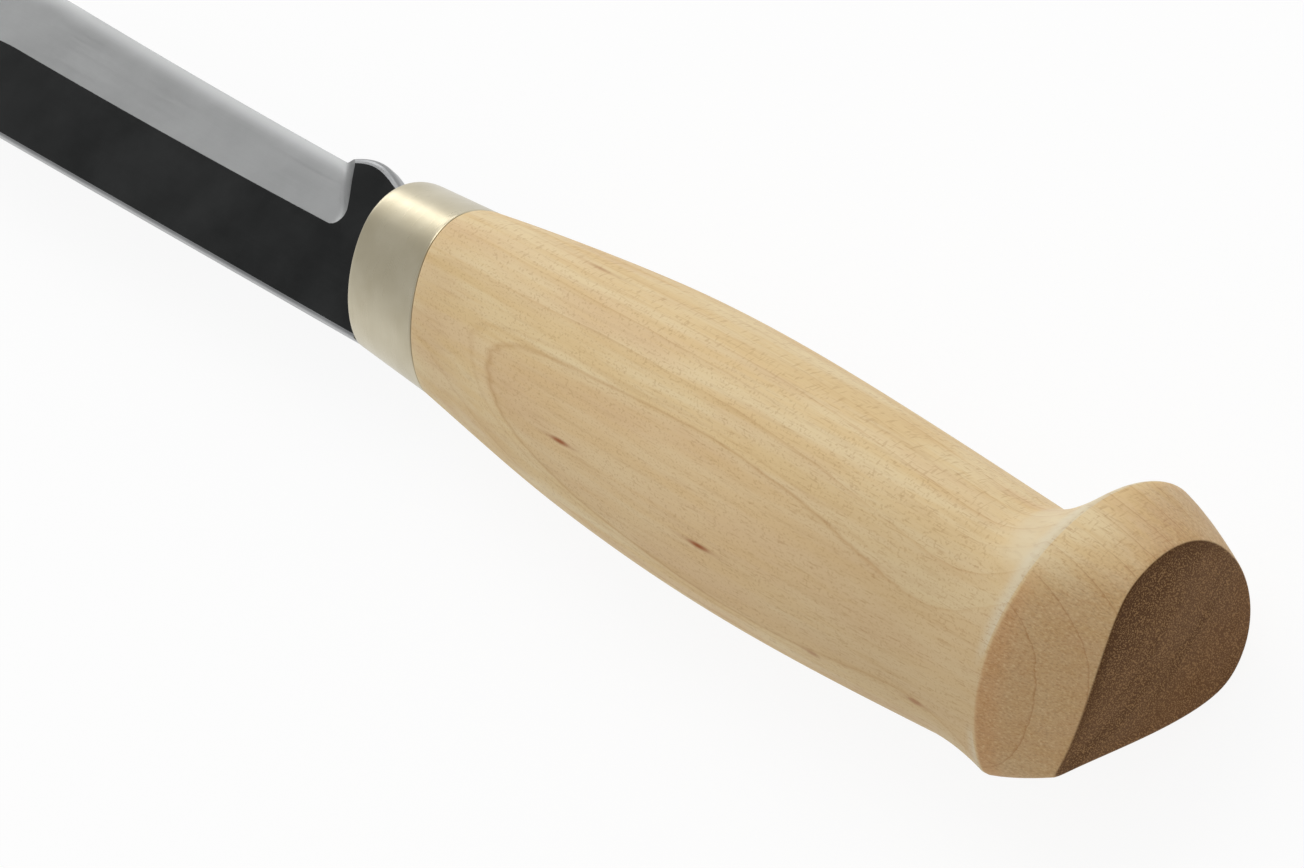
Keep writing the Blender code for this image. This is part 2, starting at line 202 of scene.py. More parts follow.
def blotches(
    tree: NodeTree, place: NodeSocket, size_mm: Sequence[float], detail: float, roughness: float = 0.5
) -> NodeSocket:
    """Draws noise in blotches of a size of their own along each axis.

    Args:
        tree: The tree that takes the nodes.
        place: The coordinates that it follows, in metres.
        size_mm: Size of a blotch along each axis.
        detail: Number of finer layers.
        roughness: Weight of the finer layers.

    Returns:
        The noise, about 0.5.
    """
    drawn = add_node(tree, Shader.STRETCH, (place, [1.0 / (size * MM) for size in size_mm]))
    return add_node(tree, Shader.NOISE, {
        "Vector": drawn, "Scale": 1.0, "Detail": detail, "Roughness": roughness,
    })


def new_material(name: str) -> Material:
    """Starts a material with an empty node tree.

    Args:
        name: Its name.

    Returns:
        The material.
    """
    material = bpy.data.materials.new(name)
    material.use_nodes = True
    material.node_tree.nodes.clear()
    return material


def select_only(piece: Object) -> None:
    """Makes one object the only one that operators act on.

    Args:
        piece: The object.
    """
    bpy.ops.object.select_all(action="DESELECT")
    piece.select_set(True)
    bpy.context.view_layer.objects.active = piece


@contextmanager
def editing(piece: Object, picking: Picking) -> Iterator[BMesh]:
    """Opens edit mode on one piece, with nothing selected in it or beside it.

    Args:
        piece: The mesh object to edit.
        picking: What is picked.

    Returns:
        Its edit mesh.
    """
    select_only(piece)
    bpy.ops.object.mode_set(mode="EDIT")
    bpy.ops.mesh.select_mode(type=picking.value)
    bpy.ops.mesh.select_all(action="DESELECT")
    yield bmesh.from_edit_mesh(piece.data)
    bpy.ops.object.mode_set(mode="OBJECT")


def nearest(points: Points) -> KDTree:
    """Makes a search for the nearest of some points.

    Args:
        points: The points.

    Returns:
        The search, which gives a point's place, number and distance.
    """
    places = KDTree(len(points))
    for i, point in enumerate(points):
        places.insert(point, i)
    places.balance()
    return places


def loft(name: str, rings: Sequence[Points]) -> Object:
    """Draws a closed solid from a filled circle that is extruded from ring to ring.

    Args:
        name: Name of the new object.
        rings: Rings of equally many points, from one end of the solid to the other.

    Returns:
        The solid, with its normals outwards.
    """
    bpy.ops.object.select_all(action="DESELECT")
    bpy.ops.mesh.primitive_circle_add(vertices=len(rings[0]), fill_type="NGON")
    piece = bpy.context.active_object
    piece.name = piece.data.name = name
    with editing(piece, Picking.FACES) as mesh:
        for vert, point in zip(mesh.verts, rings[0]):
            vert.co = point
        bpy.ops.mesh.select_all(action="SELECT")
        for before, ring in zip(rings, rings[1:]):
            bpy.ops.mesh.extrude_region_move()
            cap = next(face for face in bmesh.from_edit_mesh(piece.data).faces if face.select)
            places = nearest(before)
            for vert, i in [(vert, places.find(vert.co)[1]) for vert in cap.verts]:
                vert.co = ring[i]
        bmesh.update_edit_mesh(piece.data)
        bpy.ops.mesh.select_all(action="SELECT")
        bpy.ops.mesh.normals_make_consistent(inside=False)
    return piece


def on_ring(ring: Points, tolerance: float = 1e-6) -> Callable[[BMEdge], bool]:
    """Makes a test for the edges that run round a ring, with both ends this near its points."""
    places = nearest(ring)
    return lambda edge: all(places.find(vert.co)[2] < tolerance for vert in edge.verts)


def round_edges(piece: Object, chosen: Callable[[BMEdge], bool], width: float, segments: int) -> None:
    """Rounds off some edges of a piece with the bevel operator.

    Args:
        piece: The piece.
        chosen: A test for the edges to round.
        width: Width of the bevel on each side of the edge.
        segments: Number of faces across the rounding.
    """
    with editing(piece, Picking.EDGES) as mesh:
        for edge in [edge for edge in mesh.edges if chosen(edge)]:
            edge.select_set(True)
        bpy.ops.mesh.bevel(offset=width, segments=segments, profile=0.5, clamp_overlap=False)


def round_to_width(piece: Object, width_of: Callable[[BMEdge], float], segments: int) -> None:
    """Rounds off edges of a piece with a bevel modifier, each to a width of its own.

    Args:
        piece: The piece.
        width_of: Gives the width of the bevel on each side of an edge, 0 to leave it sharp.
        segments: Number of faces across the rounding.
    """
    modifier = piece.modifiers.new("rounding", "BEVEL")
    modifier.limit_method = "WEIGHT"
    modifier.segments = segments
    modifier.use_clamp_overlap = False
    with editing(piece, Picking.EDGES) as mesh:
        weights = mesh.edges.layers.float.new("bevel_weight_edge")
        widths = [width_of(edge) for edge in mesh.edges]
        modifier.width = max(widths)
        for edge, width in zip(mesh.edges, widths):
            edge[weights] = width / modifier.width
    bpy.ops.object.modifier_apply(modifier=modifier.name)


def combine(piece: Object, tool: Object, joining: Joining) -> None:
    """Cuts a piece with a tool, or welds the tool to it, and takes the tool away.

    Args:
        piece: The piece, which keeps its own finishes and takes the tool's on the new faces.
        tool: The tool.
        joining: Whether the tool cuts or is welded on.
    """
    modifier = piece.modifiers.new(tool.name, "BOOLEAN")
    modifier.operation = joining.value
    modifier.solver = "EXACT"
    modifier.material_mode = "TRANSFER"
    modifier.object = tool
    select_only(piece)
    bpy.ops.object.modifier_apply(modifier=modifier.name)
    bpy.data.objects.remove(tool)


def finish_all_over(piece: Object, material: Material) -> None:
    """Gives every face of a piece the same finish.

    Args:
        piece: The piece.
        material: The finish.
    """
    piece.data.materials.clear()
    piece.data.materials.append(material)
    for face in piece.data.polygons:
        face.material_index = 0


def smooth(piece: Object, degrees: float) -> None:
    """Shades a piece smooth up to an angle between its faces."""
    select_only(piece)
    bpy.ops.object.shade_smooth_by_angle(angle=math.radians(degrees))


def ease(share: float) -> float:
    """Eases a share from 0 to 1 in and out."""
    return share * share * (3.0 - 2.0 * share)


def clamp(share: float) -> float:
    """Keeps a share from 0 to 1."""
    return min(max(share, 0.0), 1.0)


def steps(first: float, last: float, count: int) -> list[float]:
    """Spaces a number of values evenly, both ends included."""
    return [first + (last - first) * i / (count - 1) for i in range(count)]


def evenly_spaced(path: Path, count: int) -> Path:
    """Spaces points evenly along a path.

    Args:
        path: Points of the path, close together.
        count: Number of steps to walk it in.

    Returns:
        The first point and those after each step, without the last point.
    """
    walked = [0.0]
    for before, after in zip(path, path[1:]):
        walked.append(walked[-1] + math.dist(before, after))
    spaced, i = [], 0
    for step in range(count):
        goal = walked[-1] * step / count
        while walked[i + 1] < goal:
            i += 1
        share = (goal - walked[i]) / (walked[i + 1] - walked[i])
        spaced.append(tuple(a + (b - a) * share for a, b in zip(path[i], path[i + 1])))
    return spaced


def fillet(before: Points, corner: Points, after: Points, count: int) -> list[Points]:
    """Rounds a corner between two rings.

    Args:
        before: Ring where the rounding starts.
        corner: Ring of the sharp corner.
        after: Ring where it ends.
        count: Number of rings, both ends included.

    Returns:
        The rings of the rounding.
    """
    return [
        [a.lerp(b, share).lerp(b.lerp(c, share), share) for a, b, c in zip(before, corner, after)]
        for share in steps(0.0, 1.0, count)
    ]


def spline(places: Sequence[float], values: Sequence[float], at: float) -> float:
    """Reads the natural cubic spline through four points.

    Args:
        places: The four places, in order.
        values: The value at each.
        at: The place to read it at.

    Returns:
        The value there.
    """
    gaps = [b - a for a, b in zip(places, places[1:])]
    slopes = [(b - a) / gap for a, b, gap in zip(values, values[1:], gaps)]
    fore, rear = 2.0 * (gaps[0] + gaps[1]), 2.0 * (gaps[1] + gaps[2])
    fore_kink, rear_kink = 6.0 * (slopes[1] - slopes[0]), 6.0 * (slopes[2] - slopes[1])
    scale = fore * rear - gaps[1] ** 2
    fore_bend = (fore_kink * rear - rear_kink * gaps[1]) / scale
    rear_bend = (rear_kink * fore - fore_kink * gaps[1]) / scale
    bends = (0.0, fore_bend, rear_bend, 0.0)
    i = max(i for i in range(3) if at >= places[i] or i == 0)
    before, after, gap = at - places[i], places[i + 1] - at, gaps[i]
    curve = (bends[i] * after**3 + bends[i + 1] * before**3) / (6.0 * gap)
    chord = (values[i] / gap - bends[i] * gap / 6.0) * after
    return curve + chord + (values[i + 1] / gap - bends[i + 1] * gap / 6.0) * before


@dataclass(frozen=True)
class KnifeFrame:
    """Where the knife's own lines lie in the frame."""

    front: float
    centre_y: float
    centre_z: float

    @classmethod
    def from_solids(cls) -> "KnifeFrame":
        """Reads the ferrule's front plane and the tang's centre line from the solids.

        Returns:
            The knife's lines.
        """
        bed_low, bed_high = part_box("tang_adhesive")
        middle = (bed_low + bed_high) / 2.0
        return cls(front=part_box("ferrule")[1].x, centre_y=middle.y, centre_z=middle.z)

    def point(self, place: float, reach: float, height: float) -> Vector:
        """Gives the frame's point for a place along the knife, a reach across it and a height."""
        return Vector((self.front + place, self.centre_y - reach, self.centre_z + height))

    def in_mm(self, tree: NodeTree, place: NodeSocket) -> NodeSocket:
        """Turns object coordinates to the place, reach and height on the knife in millimetres."""
        origin = self.point(0.0, 0.0, 0.0)
        return add_node(tree, Shader.MAPPING, {"Vector": place, "Location": origin, "Scale": (MM, -MM, MM)})


@dataclass(frozen=True)
class Section:
    """One cross-section of the ferrule or the handle.

    The side towards the edge is a superellipse. The side towards the spine has one power for its width
    and one for its height, which gives anything from an ellipse to a teardrop.
    """

    edge_reach: float
    spine_reach: float
    half_width: float
    widest_reach: float = 0.0
    edge_power: float = 2.05
    tip_power: float = 2.0
    flank_power: float = 2.0
    wear: int = 1

    def inset(self, by: float) -> "Section":
        """Takes this much off all round."""
        names = ("edge_reach", "spine_reach", "half_width")
        return replace(self, **{name: getattr(self, name) - by for name in names})

    def mixed(self, other: "Section", share: float) -> "Section":
        """Gives the section part of the way to another one."""
        sizes = {name: value + (getattr(other, name) - value) * share for name, value in vars(self).items()}
        return Section(**{**sizes, "wear": self.wear})

    def at(self, angle: float) -> Pair:
        """Finds a point of the section.

        Args:
            angle: Angle round the section, from the middle of its upper side.

        Returns:
            The point's reach and height.
        """
        across, along = math.cos(angle), math.sin(angle)
        if along >= 0.0:
            reach = (self.edge_reach - self.widest_reach) * along ** (2.0 / self.edge_power)
            wide = abs(across) ** (2.0 / self.edge_power)
        else:
            reach = -(self.spine_reach + self.widest_reach) * (-along) ** (2.0 / self.flank_power)
            wide = abs(across) ** (2.0 / self.tip_power)
        return self.widest_reach + reach, math.copysign(self.half_width * wide, across)

    def ring(self, knife: KnifeFrame, depth: float, slant: float = 0.0) -> Points:
        """Places the section on the knife, with evenly spaced points and its sharp corners worn soft.

        Args:
            knife: The knife's lines.
            depth: Depth behind the ferrule's front.
            slant: How far the section leans back for each unit of reach.

        Returns:
            The points, starting at the middle of the upper side.
        """
        flat = []
        for turn in (0.0, math.pi):
            side = [self.at(angle) for angle in steps(turn, turn + math.pi, RING_POINTS * 2)]
            flat += evenly_spaced(side, RING_POINTS // 2)
        for _ in range(self.wear):
            neighbours = zip([flat[-1], *flat], flat, [*flat[1:], flat[0]])
            flat = [tuple((a + 2.0 * b + c) / 4.0 for a, b, c in zip(*three)) for three in neighbours]
        return [knife.point(-depth - slant * reach, reach, height) for reach, height in flat]


@dataclass(frozen=True)
class MetalFinish:
    """One finish of a metal.

    All the colour of a metal is in its reflection. Fine lines left by the last abrasive pull the highlight
    out along them, and handling leaves faint smudges.
    """

    name: str
    clean: str
    smudged: str
    roughness: float
    line_roughness: float = 0.05
    line_mm: Triple = (14.0, 0.16, 0.16)
    line_levels: Pair = (0.3, 0.7)
    relief: float = 0.5
    relief_mm: float = 0.002
    smudge_mm: float = 9.0
    smudge_detail: float = 4.0
    smudge_roughness: float = 0.6
    smudge_levels: Pair = (0.35, 0.7)
    # Lighter colour near the edge, and its width: polished steel, and partly a painted highlight on the
    # honed strip
    honed_polish_and_highlight: str = ""
    honed_polish_and_highlight_mm: float = 0.5

    def material(self, knife: KnifeFrame) -> Material:
        """Builds the finish: smudged colour, and fine lines in roughness and relief.

        Thin steel is painted brighter along the edge: the stone polishes it there, and the lighter colour
        also stands in for the highlight on the honed strip.

        Args:
            knife: The knife's lines.

        Returns:
            The material.
        """
        material = new_material(self.name)
        tree = material.node_tree
        place = add_node(tree, Shader.COORDINATES, output="Object")
        smudge = blotches(tree, place, [self.smudge_mm] * 3, self.smudge_detail, self.smudge_roughness)
        lines = blotches(tree, place, self.line_mm, detail=2.0)
        colour = add_node(tree, Shader.MIX, {
            SHARE: add_node(tree, Shader.RANGE, (smudge, *self.smudge_levels)),
            FIRST: linear(self.clean),
            SECOND: linear(self.smudged),
        }, MIXED)
        # Tints the steel lighter towards the edge: its polish, and a painted highlight of the honed strip
        if self.honed_polish_and_highlight:
            height = add_node(tree, Shader.SPLIT, (knife.in_mm(tree, place),), "Z")
            height = add_node(tree, Shader.ABSOLUTE, (height,))
            colour = layered(tree, colour, (self.honed_polish_and_highlight, 1.0, (height, self.honed_polish_and_highlight_mm, 0.0)))
        rough = (self.roughness - self.line_roughness, self.roughness + self.line_roughness)
        shader = add_node(tree, Shader.PRINCIPLED, {
            "Base Color": colour,
            "Metallic": 1.0,
            "Roughness": add_node(tree, Shader.RANGE, (lines, *self.line_levels, *rough)),
            "Normal": add_node(tree, Shader.BUMP, {
                "Strength": self.relief, "Distance": self.relief_mm * MM, "Height": lines,
            }),
        })
        add_node(tree, Shader.SURFACE, (shader,))
        return material


# Carbon steel: black from the bluing bath on the flats, bare and grey on the rounded corners and the bevel
BLUED = MetalFinish("carbon_steel_blued", "#2A2B2B", "#363737", 0.24, line_roughness=0.02, relief_mm=0.001)
ROUNDED_RIM = MetalFinish("carbon_steel_rounded_rim", "#8C8D8E", "#9C9D9E", 0.34)
# The bevel's lighter tint near the edge is polished steel and partly a painted highlight
GROUND = MetalFinish("carbon_steel_ground_bevel", "#898A8A", "#929393", 0.36, honed_polish_and_highlight="#B0B1B1")
# Pale, with a warm, faintly olive tint: satin polished round the knife and dulled in patches by fingers
NICKEL_SILVER = MetalFinish(
    "nickel_silver_satin", "#C8C0A9", "#BBB299", 0.3, line_roughness=0.03, line_mm=(0.14, 5.6, 5.6),
    relief=0.4, relief_mm=0.0002, smudge_mm=6.0, smudge_detail=3.0, smudge_roughness=0.5,
    smudge_levels=(0.35, 0.65),
)


@dataclass(frozen=True)
class BirchFinish:
    """Birch, shaped, sanded and oiled.

    A pale cream wood with faint tan year rings. They are cylinders round the pith of the trunk, which
    passed over the handle at a slant, so they draw one long arch on the grip and close lines beside it.
    Fine pores run along the grain as short dashes, rays show as flecks where the cut runs towards the
    pith, brown pith flecks lie here and there, and the end grain drinks the oil and turns dark brown.
    """

    knife: KnifeFrame
    cream: str = "#E4CEA2"
    yellow: str = "#DDBF8A"
    rose: str = "#D9B78C"
    worn_tan: str = "#C5AD85"
    ring_tan: str = "#B98A55"
    ring_brown: str = "#9A6A3C"
    pore_tan: str = "#A3703A"
    fleck_brown: str = "#984F20"
    flare_grey: str = "#DCD0B4"
    band_orange: str = "#A87A4A"
    lip_orange: str = "#C8854A"
    end_brown: str = "#67492E"
    end_dark: str = "#4C2E0E"
    end_warm: str = "#6B4828"
    end_light: str = "#7C5A38"
    end_pore: str = "#A27D53"
    # A point of the pith, and how far the pith moves in reach and height for each unit forwards
    pith_mm: Triple = (-55.0, -34.0, 54.0)
    pith_slopes: Pair = (0.162, 0.108)
    arch_radius_mm: float = 53.8
    arch_edge_mm: Pair = (0.2, -0.6)
    arch_line_mm: float = 0.13
    # Where each line of the arch lies outside its radius, and how deep its colour is
    arch_lines: tuple[Pair, ...] = ((0.0, 0.32), (0.45, 0.16))
    ring_mm: float = 2.35
    ring_line_mm: float = 0.13
    innermost_year: float = -0.85
    wander_mm: float = 0.4
    ragged_mm: float = 0.12
    drift_mm: float = 0.65
    swirl_per_mm: float = 0.0125
    # Places along the knife, and across it, between which a colour or the rings change
    arch_fade_mm: Pair = (-104.0, -80.0)
    ring_fade_mm: Pair = (-6.0, -46.0)
    pore_fade_mm: Pair = (-30.0, -90.0)
    drift_place_mm: Pair = (-58.0, -90.0)
    swirl_place_mm: Pair = (-88.0, -100.8)
    worn_place_mm: Pair = (-60.0, -90.0)
    worn_reach_mm: Pair = (6.0, -4.0)
    pale_strip_mm: Pair = (-98.8, -100.5)
    lip_place_mm: Pair = (-103.4, -101.4)
    # Length along the grain and width of a blotch, and the number of finer layers
    cloud_noise: Triple = (20.0, 4.0, 3.0)
    streak_noise: Triple = (26.0, 1.5, 3.0)
    fibre_noise: Triple = (14.0, 0.5, 3.0)
    wander_noise: Triple = (30.0, 9.0, 1.0)
    ragged_noise: Triple = (5.0, 0.8, 2.0)
    dot_noise: Triple = (0.45, 0.16, 1.0)
    # A real pore is about 0.08 mm wide and a ray 0.04 mm thick: both are drawn coarser, so that they show
    pore_noise: Triple = (1.7, 0.14, 2.0)
    ray_mm: Triple = (0.32, 1.5, 0.16)
    end_pore_mm: float = 0.15
    end_band_mm: Triple = (8.0, 7.0, 1.4)
    # How far a surface faces the point of the knife: the flare does, and the band and the butt turn away
    flare_facing: Pair = (0.15, 0.29)
    outside_flare: Pair = (0.26, 0.08)
    band_facing: Pair = (-0.08, -0.3)
    end_facing: Pair = (-0.6, -0.9)
    # Place, reach, height, half length and depth of colour of each pith fleck
    flecks_mm: tuple[tuple[float, float, float, float, float], ...] = (
        (-40.1, -8.78, 8.22, 2.2, 0.9),
        (-62.5, -10.82, 7.57, 2.3, 0.95),
        (-30.6, 8.2, 7.6, 2.6, 0.35),
        (-92.4, -12.92, 3.91, 1.5, 0.55),
        (-78.4, -13.75, 3.56, 1.4, 0.45),
    )
    fleck_width_mm: Pair = (0.32, 0.6)
    # How much longer the faint tails of a fleck are than the fleck, and their share of its depth
    fleck_tails: Pair = (2.6, 0.35)
    roughness: Pair = (0.51, 0.62)
    ior: float = 1.45
    specular: float = 0.3
    end_specular: float = 0.15
    relief: float = 0.3
    relief_mm: float = 0.02

    @cached_property
    def made(self) -> Material:
        """The material, empty at first."""
        return new_material("birch_oiled")

    @property
    def tree(self) -> NodeTree:
        """The material's nodes."""
        return self.made.node_tree

    @cached_property
    def place(self) -> NodeSocket:
        """Object coordinates."""
        return add_node(self.tree, Shader.COORDINATES, output="Object")

    @cached_property
    def facing(self) -> NodeSocket:
        """How far the surface faces the point of the knife."""
        normal = add_node(self.tree, Shader.COORDINATES, output="Normal")
        return add_node(self.tree, Shader.SPLIT, (normal,), "X")

    @cached_property
    def place_mm(self) -> NodeSocket:
        """Place, reach and height on the knife, in millimetres."""
        return self.knife.in_mm(self.tree, self.place)

    @cached_property
    def along(self) -> NodeSocket:
        """Place along the knife, in millimetres."""
        return add_node(self.tree, Shader.SPLIT, (self.place_mm,), "X")

    @cached_property
    def reach(self) -> NodeSocket:
        """Reach across the knife, in millimetres."""
        return add_node(self.tree, Shader.SPLIT, (self.place_mm,), "Y")

    @cached_property
    def height(self) -> NodeSocket:
        """Height over the tang's centre line, in millimetres."""
        return add_node(self.tree, Shader.SPLIT, (self.place_mm,), "Z")

    @cached_property
    def clouds(self) -> NodeSocket:
        """The noise of the soft clouds."""
        return self.grain_noise(*self.cloud_noise)

    @cached_property
    def pores(self) -> NodeSocket:
        """The noise of the pores."""
        return self.grain_noise(*self.pore_noise)

    def grain_noise(self, long_mm: float, wide_mm: float, detail: float) -> NodeSocket:
        """Draws noise that is stretched along the grain."""
        return blotches(self.tree, self.place, (long_mm, wide_mm, wide_mm), detail)

    @cached_property
    def trunk(self) -> NodeSocket:
        """Turns object coordinates to the trunk's own, along the pith and across it.

        Returns:
            The trunk's coordinates.
        """
        reach_slope, height_slope = self.pith_slopes
        along = Vector((1.0, -reach_slope, height_slope)).normalized()
        return add_node(self.tree, Shader.MAPPING, {
            "Vector": self.place,
            "Location": self.knife.point(*(size * MM for size in self.pith_mm)),
            "Rotation": Vector((1.0, 0.0, 0.0)).rotation_difference(along).to_euler(),
        })

    @cached_property
    def radius(self) -> NodeSocket:
        """Measures the distance from the pith in millimetres, a little uneven as in a real trunk.

        Returns:
            The distance, with the drift and the swirl of the grain towards the butt.
        """
        across = add_node(self.tree, Shader.STRETCH, (self.trunk, (0.0, 1.0 / MM, 1.0 / MM)))
        distance = add_node(self.tree, Shader.LENGTH, (across,), "Value")
        start, end = self.swirl_place_mm
        behind = add_node(self.tree, Shader.RANGE, (self.along, start, end, 0.0, start - end))
        swirl = add_node(self.tree, Shader.POWER, (behind, 2.0))
        wander, ragged = (
            add_node(self.tree, Shader.RANGE, (self.grain_noise(*noise), 0.0, 1.0, -most, most))
            for noise, most in ((self.wander_noise, self.wander_mm), (self.ragged_noise, self.ragged_mm))
        )
        for more in (
            wander,
            ragged,
            add_node(self.tree, Shader.EASED_RANGE, (self.along, *self.drift_place_mm, 0.0, self.drift_mm)),
            add_node(self.tree, Shader.MULTIPLY, (swirl, -self.swirl_per_mm)),
        ):
            distance = add_node(self.tree, Shader.ADD, (distance, more))
        return distance

    def material(self) -> Material:
        """Builds the finish: the grain's layers of colour, the dark end grain, and pores in the relief.

        Returns:
            The material.
        """
        layers = (
            *self.ground(), *self.arch(), *self.cut_across(), *self.rings(), *self.streaks(),
            *self.pith_flecks(), (self.end_grain(), 1.0, (self.facing, *self.end_facing)),
        )
        gloss = (self.facing, *self.end_facing, self.specular, self.end_specular)
        shader = add_node(self.tree, Shader.PRINCIPLED, {
            "Base Color": layered(self.tree, linear(self.cream), *layers),
            "Roughness": add_node(self.tree, Shader.RANGE, (self.clouds, 0.3, 0.7, *self.roughness)),
            "IOR": self.ior,
            "Specular IOR Level": add_node(self.tree, Shader.RANGE, gloss),
            "Normal": add_node(self.tree, Shader.BUMP, {
                "Strength": self.relief, "Distance": self.relief_mm * MM, "Height": self.pores,
            }),
        })
        add_node(self.tree, Shader.SURFACE, (shader,))
        return self.made

    def ground(self) -> list[Layer]:
        """Lays soft clouds of rose and pale yellow streaks along the grain."""
        streak = self.grain_noise(*self.streak_noise)
        return [(self.rose, 0.55, (self.clouds, 0.36, 0.66)), (self.yellow, 0.75, (streak, 0.36, 0.66))]

    def arch(self) -> list[Layer]:
        """Tints the wood inside the long arch and draws its two thin lines, which fade to the rear.

        Returns:
            The layers.
        """
        edge = (self.arch_radius_mm + off for off in self.arch_edge_mm)
        layers = [(self.rose, 0.35, (self.radius, *edge))]
        for outside, most in self.arch_lines:
            off = add_node(self.tree, Shader.SUBTRACT, (self.radius, self.arch_radius_mm + outside))
            line = (add_node(self.tree, Shader.ABSOLUTE, (off,)), self.arch_line_mm, 0.0)
            layers.append((self.ring_tan, most, line, (self.along, *self.arch_fade_mm)))
        return layers

    def cut_across(self) -> list[Layer]:
        """Changes the wood towards the butt, where the cut runs across the grain.

        It is worn deeper along the spine, pale in the flare, and orange with fine dots on the band.

        Returns:
            The layers.
        """
        dots = self.grain_noise(*self.dot_noise)
        band = (self.facing, *self.band_facing)
        return [
            (self.worn_tan, 0.4, (self.along, *self.worn_place_mm), (self.reach, *self.worn_reach_mm)),
            (self.flare_grey, 0.38, (self.facing, *self.flare_facing)),
            (self.flare_grey, 0.7, (self.along, *self.pale_strip_mm), (self.facing, -0.06, 0.01)),
            (self.band_orange, 0.48, band),
            (self.lip_orange, 0.24, (self.facing, -0.08, -0.2), (self.along, *self.lip_place_mm)),
            (self.end_light, 0.26, band, (dots, 0.5, 0.72)),
            (self.cream, 0.3, band, (dots, 0.44, 0.28)),
        ]

    def rings(self) -> list[Layer]:
        """Draws the year rings, which darken outwards to a thin line: tan on the grip, brown on the band.

        Returns:
            The layers.
        """
        year = add_node(self.tree, Shader.SUBTRACT, (self.radius, self.arch_radius_mm))
        year = add_node(self.tree, Shader.DIVIDE, (year, self.ring_mm))
        year = add_node(self.tree, Shader.MAXIMUM, (year, self.innermost_year))
        season = add_node(self.tree, Shader.FRACT, (year,))
        thin = self.ring_line_mm / self.ring_mm
        cloudy = (self.clouds, 0.2, 0.65)
        on_grip = ((self.facing, -0.3, -0.05), (self.along, *self.ring_fade_mm))
        return [
            (self.ring_tan, 0.12, (season, 0.35, 1.0), cloudy),
            (self.ring_tan, 0.32, (season, 1.0 - 2.0 * thin, 1.0), cloudy, *on_grip),
            (self.ring_brown, 0.44, (season, 1.0 - thin, 1.0), (self.facing, -0.05, -0.25)),
        ]

    def streaks(self) -> list[Layer]:
        """Lays soft fibre streaks, the dashes of the pores and the flecks of the rays.

        The pores are darker towards the butt and, like the rays, closed in the flare.

        Returns:
            The layers.
        """
        fibre = self.grain_noise(*self.fibre_noise)
        dashes = (self.pores, 0.55, 0.73)
        open_cut = (self.facing, *self.outside_flare)
        return [
            (self.pore_tan, 0.14, (fibre, 0.5, 0.75)),
            (self.pore_tan, 0.15, dashes, open_cut),
            (self.pore_tan, 0.2, dashes, (self.along, *self.pore_fade_mm), open_cut),
            (self.pore_tan, 0.26, (self.rays(), 0.55, 0.72), open_cut),
        ]

    def rays(self) -> NodeSocket:
        """Draws the rays: thin upright plates that stand out from the pith like the spokes of a wheel.

        Returns:
            Their noise.
        """
        along, out, up = add_node(self.tree, Shader.SPLIT, (self.trunk,)).node.outputs
        flat = add_node(self.tree, Shader.STRETCH, (self.trunk, (0.0, 1.0, 1.0)))
        radius = add_node(self.tree, Shader.LENGTH, (flat,), "Value")
        angle = add_node(self.tree, Shader.ARCTAN2, (up, out))
        turn = add_node(self.tree, Shader.MULTIPLY, (angle, self.arch_radius_mm * MM))
        spoke = add_node(self.tree, Shader.JOIN, (along, radius, turn))
        return blotches(self.tree, spoke, self.ray_mm, detail=1.0)

    def pith_flecks(self) -> list[Layer]:
        """Marks the small brown pith flecks, each a streak that fades out along the grain in faint tails.

        Returns:
            The layers.
        """
        layers = []
        for *middle, half_length, depth in self.flecks_mm:
            for stretch, share in ((1.0, 1.0), self.fleck_tails):
                near = add_node(self.tree, Shader.MAPPING, {
                    "Vector": self.place_mm,
                    "Location": middle,
                    "Scale": (half_length * stretch, *self.fleck_width_mm),
                })
                off = add_node(self.tree, Shader.LENGTH, (near,), "Value")
                layers.append((self.fleck_brown, share * depth, (off, 1.0, 0.05)))
        return layers

    def end_grain(self) -> NodeSocket:
        """Draws the end grain: brown, with light pores close together and soft bands.

        It is darker towards its upper side and along the upper rim, and warmer on the lower half.

        Returns:
            The colour.
        """
        bands = blotches(self.tree, self.place, self.end_band_mm, detail=2.0)
        pores = blotches(self.tree, self.place, [self.end_pore_mm] * 3, detail=1.0)
        by_rim = (add_node(self.tree, Shader.RIM, output="Fac"), 1.8 * MM, 0.3 * MM)
        return layered(
            self.tree,
            linear(self.end_brown),
            (self.end_dark, 0.5, (bands, 0.45, 0.7)),
            (self.end_dark, 0.85, (self.height, 1.0, 8.0)),
            (self.end_warm, 0.55, (self.height, -1.0, -6.0)),
            (self.end_pore, 0.62, (pores, 0.5, 0.62)),
            (self.end_dark, 0.45, by_rim, (self.height, -1.0, 4.0)),
        )


@dataclass(frozen=True)
class EpoxyFinish:
    """Set epoxy, poured in and never touched again.

    A dull amber resin, slightly cloudy, that only shows where the knife is taken apart.
    """

    amber: str = "#C2AE84"
    cloud: str = "#A9946A"
    cloud_mm: float = 4.0
    roughness: Pair = (0.3, 0.45)
    ior: float = 1.55

    def material(self) -> Material:
        """Builds the finish: two ambers in soft clouds.

        Returns:
            The material.
        """
        material = new_material("epoxy_set")
        tree = material.node_tree
        place = add_node(tree, Shader.COORDINATES, output="Object")
        clouds = blotches(tree, place, [self.cloud_mm] * 3, detail=3.0)
        ambers = {SHARE: clouds, FIRST: linear(self.amber), SECOND: linear(self.cloud)}
        shader = add_node(tree, Shader.PRINCIPLED, {
            "Base Color": add_node(tree, Shader.MIX, ambers, MIXED),
            "Roughness": add_node(tree, Shader.RANGE, (clouds, 0.0, 1.0, *self.roughness)),
            "IOR": self.ior,
        })
        add_node(tree, Shader.SURFACE, (shader,))
        return material


